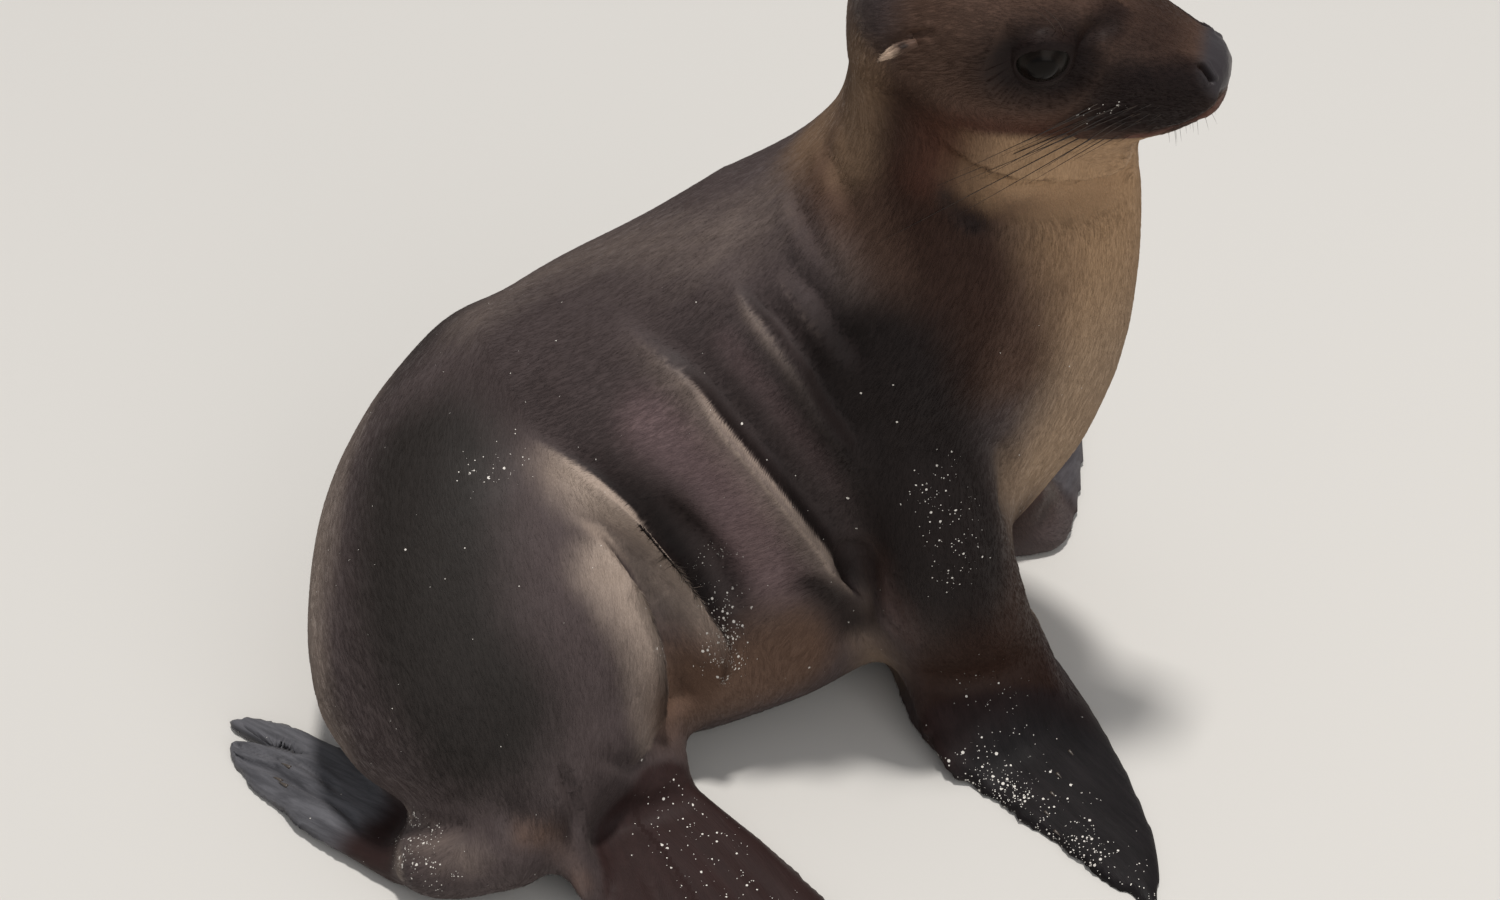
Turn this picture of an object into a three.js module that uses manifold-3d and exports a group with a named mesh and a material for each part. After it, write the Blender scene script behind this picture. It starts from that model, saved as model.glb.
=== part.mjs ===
// A young sea lion sitting on the ground, life size, as a still museum model.
// Millimetres, +Z up. The animal faces +X, +Y is to its left, and it rests on the plane Z = 0.
// Its hindquarters are curled round to its right, so that the tail points to -Y.

import * as THREE from "three";
import { mergeVertices } from "three/addons/utils/BufferGeometryUtils.js";
import Module from "manifold-3d";

const wasm = await Module();
wasm.setup();

// ---------------------------------------------------------------- driving dimensions

const GAP = 0.4; // clearance left between neighbouring pieces
const FLOOR = 0; // level of the flats that the animal rests on
const SOLE = 3.2; // depth of a fore flipper below its edges
const SOLE_SUNK = 0.92; // share of that depth which is above the floor, so that a narrow flat forms
const THIN_EDGE = 0.44; // height of a fore flipper at its trailing edge, as a share of the leading edge
const UP = [0, 0, 1];

// ---------------------------------------------------------------- closed surfaces

// A value of a smooth curve through rows of numbers, with t running from 0 to 1 over all the rows.
function along(rows, t) {
  const last = rows.length - 1;
  const u = Math.min(Math.max(t, 0), 1) * last;
  const i = Math.min(Math.floor(u), last - 1);
  const f = u - i;
  const row = (k) => rows[Math.min(Math.max(k, 0), last)];
  const [a, b, c, d] = [row(i - 1), row(i), row(i + 1), row(i + 2)];
  return b.map((_, k) => {
    const m0 = (c[k] - a[k]) / 2;
    const m1 = (d[k] - b[k]) / 2;
    const h = c[k] - b[k];
    return b[k] + f * (m0 + f * (3 * h - 2 * m0 - m1 + f * (m0 + m1 - 2 * h)));
  });
}

// A closed mesh through rings of points, with one end point beyond the first and the last ring.
function closed(rings, startTip, endTip) {
  const around = rings[0].length;
  const at = (i, j) => i * around + (j % around);
  const first = rings.length * around;
  const faces = [];
  for (let i = 0; i + 1 < rings.length; i++) {
    for (let j = 0; j < around; j++) {
      faces.push(at(i, j), at(i, j + 1), at(i + 1, j + 1));
      faces.push(at(i, j), at(i + 1, j + 1), at(i + 1, j));
    }
  }
  for (let j = 0; j < around; j++) {
    faces.push(first, at(0, j + 1), at(0, j));
    faces.push(first + 1, at(rings.length - 1, j), at(rings.length - 1, j + 1));
  }
  const points = [...rings.flat(), startTip, endTip];
  const geometry = new THREE.BufferGeometry();
  geometry.setAttribute("position", new THREE.Float32BufferAttribute(points.flatMap((p) => p.toArray()), 3));
  geometry.setIndex(faces);
  return geometry;
}

// The directions of a section of a loft at t: along the body, to its back and to its left.
function sectionFrame(rows, t, step) {
  const centre = (v) => new THREE.Vector3(...along(rows, v).slice(0, 3));
  const tangent = centre(t + step).sub(centre(t - step)).normalize();
  const dorsal = new THREE.Vector3(...along(rows, t).slice(3, 6));
  dorsal.addScaledVector(tangent, -dorsal.dot(tangent)).normalize();
  const left = new THREE.Vector3().crossVectors(dorsal, tangent);
  return { centre: centre(t), tangent, dorsal, left };
}

// A closed body through oval sections. Each station has its centre (at), the direction of the back
// there (dorsal), and the reach of the section to the left, right, back and belly; keel is the share
// by which its belly side is narrowed. The ends are rounded by caps of the given lengths, and grow
// adds a skin of that thickness all over.
function loft(stations, { rings, around, caps, grow = 0, capRings = 4 }) {
  const reach = (s) => [s.left, s.right, s.back, s.belly, s.keel ?? 0];
  const rows = stations.map((s) => [...s.at, ...(s.dorsal ?? UP), ...reach(s)]);
  const ring = (t, push, scale) => {
    const f = sectionFrame(rows, t, 0.5 / rings);
    const [left, right, back, belly, keel] = along(rows, t).slice(6);
    const middle = f.centre.addScaledVector(f.tangent, push);
    return Array.from({ length: around }, (_, j) => {
      const angle = (2 * Math.PI * j) / around;
      const [c, s] = [Math.cos(angle), Math.sin(angle)];
      const narrow = 1 - keel * Math.max(0, -s) ** 2;
      const side = c * scale * ((c > 0 ? left : right) * narrow + grow);
      const rise = s * scale * ((s > 0 ? back : belly) + grow);
      return middle.clone().addScaledVector(f.left, side).addScaledVector(f.dorsal, rise);
    });
  };
  const bends = Array.from({ length: capRings - 1 }, (_, i) => (Math.PI / 2) * ((i + 1) / capRings));
  const [capStart, capEnd] = caps.map((c) => c + grow);
  const sections = [
    ...bends.toReversed().map((b) => ring(0, -capStart * Math.sin(b), Math.cos(b))),
    ...Array.from({ length: rings + 1 }, (_, i) => ring(i / rings, 0, 1)),
    ...bends.map((b) => ring(1, capEnd * Math.sin(b), Math.cos(b))),
  ];
  const [a, z] = [sectionFrame(rows, 0, 0.5 / rings), sectionFrame(rows, 1, 0.5 / rings)];
  const startTip = a.centre.addScaledVector(a.tangent, -capStart);
  return closed(sections, startTip, z.centre.addScaledVector(z.tangent, capEnd));
}

// A ring of a blade that lies on the floor between a leading and a trailing place. The trailing edge
// is cut back by notch.
function bladeRing(lead, trail, high, around, notch, grow) {
  const half = lead.clone().sub(trail).multiplyScalar(0.5);
  const middle = lead.clone().sub(half);
  const outward = half.clone().normalize();
  return Array.from({ length: around }, (_, j) => {
    const angle = (2 * Math.PI * j) / around;
    const [c, s] = [Math.cos(angle), Math.sin(angle)];
    const reach = half.length() + grow - (c < 0 ? notch * c * c : 0);
    const thick = s > 0 ? high * THREE.MathUtils.lerp(THIN_EDGE, 1, (1 + c) / 2) : SOLE;
    const place = middle.clone().addScaledVector(outward, c * reach);
    return place.setZ(SOLE * SOLE_SUNK + s * (thick + grow));
  });
}

// A closed blade lying on the floor, from the wrist to the tip. Each row has the leading and the
// trailing edge as places on the floor, and the height. The trailing edge is scalloped by lobes.
function blade(rows, { rings, around, lobes, scallop, mirrored, grow }) {
  const flat = rows.map((r) => [...r.lead, ...r.trail, r.high]);
  const sections = Array.from({ length: rings + 1 }, (_, i) => {
    const t = i / rings;
    const [lx, ly, tx, ty, high] = along(flat, t);
    const fadeIn = Math.min(1, 4 * t);
    const notch = scallop * fadeIn * (0.5 + 0.5 * Math.cos(2 * Math.PI * lobes * t));
    const [lead, trail] = [new THREE.Vector3(lx, ly, 0), new THREE.Vector3(tx, ty, 0)];
    const ring = bladeRing(lead, trail, high, around, notch, grow);
    return mirrored ? ring.toReversed() : ring;
  });
  const middleOf = (ring) => ring.reduce((sum, p) => sum.add(p), new THREE.Vector3()).divideScalar(around);
  return closed(sections, middleOf(sections[0]), middleOf(sections[rings]));
}

// ---------------------------------------------------------------- solids

function solid(geometry, matrix = null) {
  const g = geometry.clone();
  g.deleteAttribute("normal");
  g.deleteAttribute("uv");
  if (matrix) g.applyMatrix4(matrix);
  const merged = mergeVertices(g, 1e-4);
  return new wasm.Manifold(
    new wasm.Mesh({
      numProp: 3,
      vertProperties: new Float32Array(merged.attributes.position.array),
      triVerts: new Uint32Array(merged.index.array),
    }),
  );
}

const union = (...bodies) => bodies.reduce((a, b) => a.add(b));

// What is left of a body when other bodies are cut out of it. Loose offcuts are dropped.
function without(body, ...others) {
  const rest = others.reduce((whole, other) => whole.subtract(other), body);
  return rest.decompose().sort((a, b) => b.volume() - a.volume())[0];
}

// The two pieces of a body on either side of a plane, the first on the side that the plane faces.
function part(body, { point, facing }) {
  const n = new THREE.Vector3(...facing).normalize();
  const offset = n.dot(new THREE.Vector3(...point));
  const ahead = body.trimByPlane(n.toArray(), offset + GAP / 2);
  const behind = body.trimByPlane(n.clone().negate().toArray(), GAP / 2 - offset);
  return [without(ahead), without(behind)];
}

const aboveFloor = (body) => body.trimByPlane(UP, FLOOR);

// ---------------------------------------------------------------- trunk

const HINDQUARTERS = [
  // tail root, rump, hips, loin, small of the back
  { at: [-114, -160, 60], left: 66, right: 62, back: 42, belly: 54 },
  { at: [-144, -117, 87], left: 118, right: 104, back: 80, belly: 94 },
  { at: [-158, -48, 108], left: 120, right: 123, back: 110, belly: 118 },
  { at: [-153, 16, 122], left: 113, right: 90, back: 117, belly: 124 },
  { at: [-124, 72, 142], left: 101, right: 60, back: 117, belly: 130 },
];

const TRUNK = [
  // loin, belly, waist, chest, shoulders, neck base, neck, nape
  { at: [-130, 30, 140], dorsal: [-0.2, 0, 1], left: 116, right: 90, back: 118, belly: 126 },
  { at: [-80, 32, 160], dorsal: [-0.3, 0, 1], left: 125, right: 112, back: 129, belly: 166 },
  { at: [0, 28, 205], dorsal: [-0.5, 0, 1], left: 122, right: 118, back: 134, belly: 200, keel: 0.1 },
  { at: [72, 22, 262], dorsal: [-0.7, 0, 0.7], left: 118, right: 112, back: 134, belly: 168, keel: 0.14 },
  { at: [112, 14, 325], dorsal: [-0.88, 0, 0.45], left: 101, right: 96, back: 118, belly: 134, keel: 0.2 },
  { at: [132, 8, 390], dorsal: [-1, 0, 0.3], left: 76, right: 73, back: 97, belly: 102, keel: 0.36 },
  { at: [134, 2, 440], dorsal: [-1, 0, 0], left: 56, right: 53, back: 86, belly: 86, keel: 0.5 },
  { at: [126, -4, 490], dorsal: [-1, 0, 0], left: 52, right: 52, back: 72, belly: 44, keel: 0.4 },
];

const BELLY = [
  // under the hip, navel, under the chest, breastbone
  { at: [-62, -36, 76], left: 84, right: 84, back: 84, belly: 84 },
  { at: [-12, -15, 79], left: 84, right: 84, back: 84, belly: 84 },
  { at: [33, 8, 76], left: 80, right: 80, back: 80, belly: 80 },
  { at: [68, 22, 70], left: 68, right: 68, back: 70, belly: 71 },
];

const hips = (grow) => solid(loft(HINDQUARTERS, { rings: 10, around: 18, caps: [34, 60], grow }));
const trunk = union(
  solid(loft(TRUNK, { rings: 17, around: 18, caps: [50, 34] })),
  solid(loft(BELLY, { rings: 5, around: 14, caps: [50, 40] })),
);

// ---------------------------------------------------------------- head

// In the head's own frame: +X towards the nose, +Z up, origin between the ears.
const HEAD = [
  // occiput, ears, temples, eyes, whiskers, lips, nostrils
  { at: [-16, 0, 2], left: 60, right: 60, back: 48, belly: 70 },
  { at: [15, 0, 2], left: 65, right: 65, back: 57, belly: 77 },
  { at: [50, 0, 0], left: 59, right: 59, back: 53, belly: 85, keel: -0.5 },
  { at: [85, 0, -2], left: 50, right: 50, back: 46, belly: 84, keel: -0.6 },
  { at: [115, 0, -2], left: 42, right: 42, back: 35, belly: 73, keel: -0.55 },
  { at: [142, 0, -3], left: 35, right: 35, back: 25, belly: 52, keel: -0.35 },
  { at: [163, 0, -3], left: 27, right: 27, back: 18, belly: 33 },
];
const EYE = { at: [66, 38, 11], radius: 19 }; // of the left eye, and mirrored for the right one
const NOSE = { at: [170, 0, 4], half: [14, 19, 14] };
const MOUTH = { corner: [104, 0, -36], slope: -0.14, long: 110, wide: 130, deep: 110 };
const [LEFT, RIGHT] = [1, -1];
const HEAD_AT = new THREE.Vector3(98, -5, 506);
const HEAD_TURN = new THREE.Euler(0.19, 0.21, -0.14, "ZYX"); // roll, nose down, turn to the right
const headPlace = new THREE.Matrix4().compose(
  HEAD_AT,
  new THREE.Quaternion().setFromEuler(HEAD_TURN),
  new THREE.Vector3(1, 1, 1),
);

const skull = (grow) => solid(loft(HEAD, { rings: 12, around: 18, caps: [28, 14], grow }), headPlace);

function eye(side, grow) {
  const [x, y, z] = EYE.at;
  return solid(new THREE.SphereGeometry(EYE.radius + grow, 10, 8).translate(x, side * y, z), headPlace);
}

// The nose pad, a rounded block across the tip of the muzzle.
function nosePad(grow) {
  const shape = new THREE.SphereGeometry(1, 10, 6).scale(...NOSE.half.map((h) => h + grow));
  return solid(shape.translate(...NOSE.at), headPlace);
}

// The lower jaw is what lies under the line of the mouth and in front of its corner.
function jawRegion(grow) {
  const { corner, slope, long, wide, deep } = MOUTH;
  const block = new THREE.BoxGeometry(long + 2 * grow, wide, deep + 2 * grow);
  block.translate(long / 2, 0, -deep / 2).rotateY(slope).translate(...corner);
  return solid(block, headPlace);
}

function ear(side, grow) {
  const stations = [
    // root, middle, tip
    { at: [3, side * 60, 19], left: 5, right: 5, back: 7, belly: 7 },
    { at: [-6, side * 68, 14], left: 4, right: 4, back: 6, belly: 6 },
    { at: [-15, side * 72, 8], left: 2.4, right: 2.4, back: 3.5, belly: 3.5 },
  ];
  return solid(loft(stations, { rings: 4, around: 6, caps: [3, 4], grow, capRings: 2 }), headPlace);
}

// ---------------------------------------------------------------- fore limbs

// For the arms, left is the front edge, back is the right side of the animal and belly its left side.
const RIGHTWARD = [0, -1, 0];
const RIGHT_ARM = [
  // shoulder, upper arm, elbow, forearm, wrist
  { at: [90, -24, 240], dorsal: RIGHTWARD, left: 56, right: 62, back: 60, belly: 40 },
  { at: [104, -44, 180], dorsal: RIGHTWARD, left: 56, right: 60, back: 56, belly: 40 },
  { at: [118, -50, 120], dorsal: RIGHTWARD, left: 52, right: 58, back: 46, belly: 38 },
  { at: [132, -42, 70], dorsal: RIGHTWARD, left: 51, right: 54, back: 34, belly: 34 },
  { at: [141, -30, 36], dorsal: RIGHTWARD, left: 50, right: 52, back: 24, belly: 28 },
];
const LEFT_ARM = [
  { at: [90, 68, 240], dorsal: RIGHTWARD, left: 56, right: 62, back: 40, belly: 58 },
  { at: [106, 88, 180], dorsal: RIGHTWARD, left: 56, right: 60, back: 40, belly: 52 },
  { at: [126, 104, 120], dorsal: RIGHTWARD, left: 52, right: 58, back: 38, belly: 42 },
  { at: [142, 120, 70], dorsal: RIGHTWARD, left: 50, right: 54, back: 30, belly: 34 },
  { at: [155, 134, 36], dorsal: RIGHTWARD, left: 48, right: 52, back: 26, belly: 26 },
];

const PALM = [
  // wrist to tip
  { lead: [200, 4], trail: [86, 10], high: 34 },
  { lead: [212, -10], trail: [84, -14], high: 31 },
  { lead: [224, -42], trail: [91, -50], high: 24 },
  { lead: [238, -85], trail: [112, -92], high: 18 },
  { lead: [248, -125], trail: [140, -124], high: 14 },
  { lead: [254, -160], trail: [172, -157], high: 11 },
  { lead: [254, -195], trail: [200, -186], high: 8 },
  { lead: [247, -224], trail: [233, -217], high: 4 },
];
const WRIST = [
  // forearm, wrist, back of the hand
  { at: [136, -22, 50], left: 56, right: 50, back: 28, belly: 36 },
  { at: [151, -58, 24], left: 60, right: 52, back: 20, belly: 22 },
  { at: [166, -96, 8], left: 50, right: 44, back: 9, belly: 9 },
];

// The left hand is the right one's mirror image, set further out and turned back by SPLAY.
const SPLAY = THREE.MathUtils.degToRad(8);
const RIGHT_PIVOT = new THREE.Vector2(140, 10);
const LEFT_PIVOT = new THREE.Vector2(159, 96);

function onLeftSide([x, y, ...rest]) {
  const place = new THREE.Vector2(x - RIGHT_PIVOT.x, RIGHT_PIVOT.y - y);
  place.rotateAround(new THREE.Vector2(), SPLAY).add(LEFT_PIVOT);
  return [place.x, place.y, ...rest];
}

function hand(mirrored, grow) {
  const move = mirrored ? onLeftSide : (place) => place;
  const rows = PALM.map((r) => ({ ...r, lead: move(r.lead), trail: move(r.trail) }));
  const palm = blade(rows, { rings: 12, around: 10, lobes: 5, scallop: 7, mirrored, grow });
  const sides = (s) => (mirrored ? { left: s.right, right: s.left } : {});
  const stations = WRIST.map((s) => ({ ...s, ...sides(s), at: move(s.at) }));
  const wrist = loft(stations, { rings: 3, around: 10, caps: [16, 22], grow, capRings: 3 });
  return union(solid(palm), solid(wrist));
}

const arm = (stations, grow) =>
  solid(loft(stations, { rings: 6, around: 12, caps: [30, 16], grow, capRings: 2 }));
const rightForeLimb = (grow) => union(arm(RIGHT_ARM, grow), hand(false, grow));
const leftForeLimb = (grow) => union(arm(LEFT_ARM, grow), hand(true, grow));

// ---------------------------------------------------------------- hind limbs and tail

const RIGHT_SHANK = [
  // knee, shank, ankle
  { at: [-116, -64, 76], left: 50, right: 50, back: 44, belly: 48 },
  { at: [-94, -100, 48], left: 42, right: 46, back: 36, belly: 40 },
  { at: [-68, -140, 27], left: 40, right: 44, back: 26, belly: 25 },
];
const LEFT_SHANK = [
  { at: [-128, -160, 56], left: 48, right: 48, back: 40, belly: 44 },
  { at: [-152, -198, 38], left: 40, right: 40, back: 32, belly: 34 },
  { at: [-196, -198, 26], left: 34, right: 34, back: 22, belly: 22 },
];

// Each toe runs over the floor from one place to another; wide is its half width at the ankle,
// in the middle and at the tip.
const TOE_HEIGHTS = [14, 9, 5]; // half thickness at those three places
const TOE_RAISED = 0.94; // height of a toe's middle in half thicknesses, so that a narrow flat forms
const RIGHT_TOES = [
  { from: [-46, -138], to: [90, -300], wide: [16, 22, 13] },
  { from: [-58, -142], to: [58, -292], wide: [15, 16, 9] },
  { from: [-70, -144], to: [28, -298], wide: [15, 16, 9] },
  { from: [-82, -144], to: [-2, -302], wide: [15, 16, 9] },
  { from: [-94, -140], to: [-44, -312], wide: [15, 20, 12] },
];
const LEFT_TOES = [
  { from: [-190, -172], to: [-333, -74], wide: [14, 15, 8] },
  { from: [-192, -182], to: [-329, -86], wide: [12, 11, 5] },
  { from: [-194, -190], to: [-330, -94], wide: [12, 11, 5] },
  { from: [-198, -196], to: [-330, -102], wide: [12, 11, 5] },
  { from: [-204, -202], to: [-322, -118], wide: [14, 17, 10] },
];
const TAIL = [
  { at: [-116, -168, 44], left: 22, right: 22, back: 16, belly: 20 },
  { at: [-108, -200, 34], left: 15, right: 15, back: 10, belly: 14 },
  { at: [-98, -232, 22], left: 7, right: 7, back: 5, belly: 7 },
];

// A flat toe from the ankle to its tip, thick at its root.
function toe({ from, to, wide }, grow) {
  const stations = TOE_HEIGHTS.map((h, i) => {
    const [x, y] = along([from, to], i / (TOE_HEIGHTS.length - 1));
    return { at: [x, y, h * TOE_RAISED], left: wide[i], right: wide[i], back: h, belly: h };
  });
  return solid(loft(stations, { rings: 3, around: 6, caps: [8, wide.at(-1)], grow, capRings: 3 }));
}

const shank = (stations, grow) =>
  solid(loft(stations, { rings: 4, around: 10, caps: [24, 20], grow, capRings: 2 }));
const hindLimb = (stations, toes, grow) => union(shank(stations, grow), ...toes.map((t) => toe(t, grow)));
const tail = (grow) => solid(loft(TAIL, { rings: 4, around: 8, caps: [14, 8], grow, capRings: 2 }));

// ---------------------------------------------------------------- pieces

// Where the body is parted: a point of each plane, and the way it faces.
const CUTS = {
  rightWrist: { point: [150, -62, 22], facing: [0.25, -0.87, -0.42] },
  leftWrist: { point: [160, 168, 22], facing: [0.2, 0.87, -0.42] },
  rightAnkle: { point: [-64, -146, 20], facing: [0.45, -0.89, 0] },
  leftAnkle: { point: [-206, -190, 20], facing: [-0.82, 0.57, 0] },
  loin: { point: [-100, 0, 0], facing: [1, 0.3, 0] },
  waist: { point: [24, 25, 200], facing: [0.9, 0, 0.35] },
  neck: { point: [115, 10, 345], facing: [0.42, 0, 0.9] },
};

const rightHindLimb = (grow) => hindLimb(RIGHT_SHANK, RIGHT_TOES, grow);
const leftHindLimb = (grow) => hindLimb(LEFT_SHANK, LEFT_TOES, grow);
const roomForTail = tail(GAP);
const roomForRightHind = rightHindLimb(GAP);
const roomForEars = [ear(RIGHT, GAP), ear(LEFT, GAP)];
const roomForLimbs = [
  rightForeLimb(GAP),
  leftForeLimb(GAP),
  roomForTail,
  roomForRightHind,
  leftHindLimb(GAP),
];

const [rightFlipper, rightArm] = part(aboveFloor(rightForeLimb(0)), CUTS.rightWrist);
const [leftFlipper, leftArm] = part(aboveFloor(leftForeLimb(0)), CUTS.leftWrist);
const rightHind = aboveFloor(rightHindLimb(0)).subtract(roomForTail);
const leftHind = aboveFloor(leftHindLimb(0)).subtract(roomForTail).subtract(roomForRightHind);
const [rightFoot, rightLeg] = part(rightHind, CUTS.rightAnkle);
const [leftFoot, leftLeg] = part(leftHind, CUTS.leftAnkle);

const [front, loin] = part(aboveFloor(trunk), CUTS.loin);
const [shoulders, waist] = part(front, CUTS.waist);
const [neck, breast] = part(shoulders, CUTS.neck);
const rump = union(aboveFloor(hips(0)), loin);

const face = without(skull(0), eye(RIGHT, GAP), eye(LEFT, GAP), nosePad(GAP), ...roomForEars);

// ---------------------------------------------------------------- the model

const COAT = { color: 0x4a403c, roughness: 0.6 };
const BARE_SKIN = { color: 0x2c2a2c, roughness: 0.5 };
const EYEBALL = { color: 0x0c0908, roughness: 0.1 };

const seaLion = new THREE.Group();
seaLion.name = "sea_lion";

function addNode(name, body, look) {
  const made = body.getMesh();
  const corner = (i) => made.vertProperties.subarray(i * made.numProp, i * made.numProp + 3);
  const places = Array.from({ length: made.numVert }, (_, i) => [...corner(i)]).flat();
  const geometry = new THREE.BufferGeometry();
  geometry.setAttribute("position", new THREE.Float32BufferAttribute(places, 3));
  geometry.setIndex([...made.triVerts]);
  geometry.computeVertexNormals();
  const mesh = new THREE.Mesh(geometry, new THREE.MeshStandardMaterial(look));
  mesh.name = name;
  seaLion.add(mesh);
}

addNode("head", without(face, jawRegion(GAP)), COAT);
addNode("lower_jaw", without(face.intersect(jawRegion(0))), COAT);
addNode("nose", without(nosePad(0).intersect(skull(0))), BARE_SKIN);
addNode("eye_right", eye(RIGHT, 0), EYEBALL);
addNode("eye_left", eye(LEFT, 0), EYEBALL);
addNode("ear_right", ear(RIGHT, 0), COAT);
addNode("ear_left", ear(LEFT, 0), COAT);
addNode("neck", without(neck, skull(GAP), ...roomForEars), COAT);
addNode("chest", without(breast, ...roomForLimbs), COAT);
addNode("belly", without(waist, hips(GAP), ...roomForLimbs), COAT);
addNode("hindquarters", without(rump, ...roomForLimbs), COAT);
addNode("tail", aboveFloor(tail(0)), COAT);
addNode("fore_leg_right", rightArm, COAT);
addNode("fore_leg_left", leftArm, COAT);
addNode("fore_flipper_right", rightFlipper, BARE_SKIN);
addNode("fore_flipper_left", leftFlipper, BARE_SKIN);
addNode("hind_leg_right", rightLeg, COAT);
addNode("hind_leg_left", leftLeg, COAT);
addNode("hind_flipper_right", rightFoot, BARE_SKIN);
addNode("hind_flipper_left", leftFoot, BARE_SKIN);

// The origin is on the floor, in the middle of the model's length and width.
const middle = new THREE.Box3().setFromObject(seaLion).getCenter(new THREE.Vector3());
for (const node of seaLion.children) {
  node.geometry.translate(-middle.x, -middle.y, 0);
}

export default seaLion;
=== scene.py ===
import math

import bmesh
import bpy
import numpy as np
from mathutils import Euler, Matrix, Vector
from mathutils.kdtree import KDTree


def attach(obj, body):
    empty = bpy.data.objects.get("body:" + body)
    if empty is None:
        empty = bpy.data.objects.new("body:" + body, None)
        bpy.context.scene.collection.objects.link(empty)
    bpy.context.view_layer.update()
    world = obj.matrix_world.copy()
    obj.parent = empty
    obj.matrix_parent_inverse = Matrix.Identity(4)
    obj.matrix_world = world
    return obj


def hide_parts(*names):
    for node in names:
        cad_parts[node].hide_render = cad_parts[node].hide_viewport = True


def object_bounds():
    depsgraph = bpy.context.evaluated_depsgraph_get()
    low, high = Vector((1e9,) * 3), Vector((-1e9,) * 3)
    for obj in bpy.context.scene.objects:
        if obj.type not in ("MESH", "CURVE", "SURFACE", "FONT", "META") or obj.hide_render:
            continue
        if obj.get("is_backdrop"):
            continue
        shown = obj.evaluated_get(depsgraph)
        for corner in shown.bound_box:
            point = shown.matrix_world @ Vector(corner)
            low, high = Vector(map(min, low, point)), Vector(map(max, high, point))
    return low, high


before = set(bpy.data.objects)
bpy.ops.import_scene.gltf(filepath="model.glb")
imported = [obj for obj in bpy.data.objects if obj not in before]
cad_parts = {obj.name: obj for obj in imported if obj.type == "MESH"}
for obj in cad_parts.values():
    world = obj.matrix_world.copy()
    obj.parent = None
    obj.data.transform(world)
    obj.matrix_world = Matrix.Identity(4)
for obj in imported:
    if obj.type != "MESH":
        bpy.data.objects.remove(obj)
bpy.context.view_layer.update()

# A young sea lion sitting on the floor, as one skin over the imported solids, with its coat, eyes,
# whiskers and claws. It faces +X and its near side is -Y. The tables below are in millimetres.
MM = 0.001
VOXEL = 4.8 * MM  # grain of the remeshed skin
SWELL = 2.4 * MM  # the solids are fattened by this for the remesh, so that thin edges survive it
COAT = 1.6 * MM  # depth of the coat over the skin
BARE_COAT = 0.4 * MM  # the same on the flippers
FLOOR_GAP = 0.2 * MM  # least height of the skin over the floor
SAMPLE_STEP = 5 * MM  # spacing of the samples that tell which solid is nearest
rng = np.random.default_rng(41)


def mm(points):
    return np.array(points, float) * MM


def read(items, what, width, kind=float):
    """One property of a mesh's items, as rows of the given width."""
    values = np.empty(len(items) * width, kind)
    items.foreach_get(what, values)
    return values.reshape(-1, width)


def write(items, what, values, kind=np.float32):
    items.foreach_set(what, np.ascontiguousarray(values, kind).ravel())


# ---- curves and fields


def curve(points, steps=10):
    """Points along a smooth curve through the given ones."""
    p = np.array(points, float)
    p = np.vstack([2 * p[0] - p[1], p, 2 * p[-1] - p[-2]])
    out = []
    for i in range(1, len(p) - 2):
        a, b, c, d = p[i - 1], p[i], p[i + 1], p[i + 2]
        for t in np.arange(steps) / steps:
            out.append(0.5 * (2 * b + (c - a) * t + (2 * a - 5 * b + 4 * c - d) * t * t
                              + (3 * b - a - 3 * c + d) * t ** 3))
    out.append(p[-2])
    return np.array(out)


def smoothstep(x, low, high):
    t = np.clip((x - low) / (high - low), 0, 1)
    return t * t * (3 - 2 * t)


def unit(v):
    return v / np.maximum(np.linalg.norm(v, axis=-1, keepdims=True), 1e-12)


def nearest_on(co, path):
    """For each point: its offset from the path, and the path's share of length and direction there."""
    best = np.full(len(co), np.inf)
    offset = np.zeros_like(co)
    share = np.zeros(len(co))
    heading = np.zeros_like(co)
    steps = np.linalg.norm(np.diff(path, axis=0), axis=1)
    run = np.concatenate([[0], np.cumsum(steps)])
    for i in range(len(path) - 1):
        d = path[i + 1] - path[i]
        t = np.clip((co - path[i]) @ d / max(d @ d, 1e-18), 0, 1)
        off = co - (path[i] + t[:, None] * d)
        far = (off * off).sum(1)
        near = far < best
        best[near] = far[near]
        offset[near] = off[near]
        share[near] = (run[i] + t[near] * steps[i]) / run[-1]
        heading[near] = d / max(steps[i], 1e-12)
    return offset, share, heading


def apart(co, path):
    """How far each point is from the path, in millimetres."""
    return np.linalg.norm(nearest_on(co, curve(mm(path), 6))[0], axis=1) / MM


def reach(co, path, inner, outer):
    """1 within inner of the path and 0 beyond outer, in millimetres."""
    return 1 - smoothstep(apart(co, path), inner, outer)


def soft(co, path, wide):
    """1 on the path, fading smoothly away from it."""
    return np.exp(-(apart(co, path) / wide) ** 2)


def stroke(co, no, path, shape, within=60, fade=(0.12, 0.12)):
    """shape(u) along the path, where u is the distance from it in millimetres, positive to its right
    as seen from outside with the path running down. It fades over shares of the path's length at its
    ends, and sideways before it gets as far as within. Skin well above or below the path is left out."""
    line = curve(mm(path), 8)
    box = (co > line.min(0) - within * MM).all(1) & (co < line.max(0) + within * MM).all(1)
    offset, share, heading = nearest_on(co[box], line)
    out = (offset * no[box]).sum(1)
    side = np.sign((offset * np.cross(no[box], heading)).sum(1))
    u = side * np.linalg.norm(offset - no[box] * out[:, None], axis=1) / MM
    ends = smoothstep(share, 0, fade[0] + 0.001) * (1 - smoothstep(share, 0.999 - fade[1], 1))
    beyond = np.where((share <= 0) | (share >= 1), np.exp(-(u / 12) ** 2), 1)
    height = np.zeros(len(co))
    height[box] = shape(u) * ends * beyond * (1 - smoothstep(np.abs(out) / MM, 18, 34)) \
        * (1 - smoothstep(np.abs(u), 0.45 * within, 0.9 * within))
    return height


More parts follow.
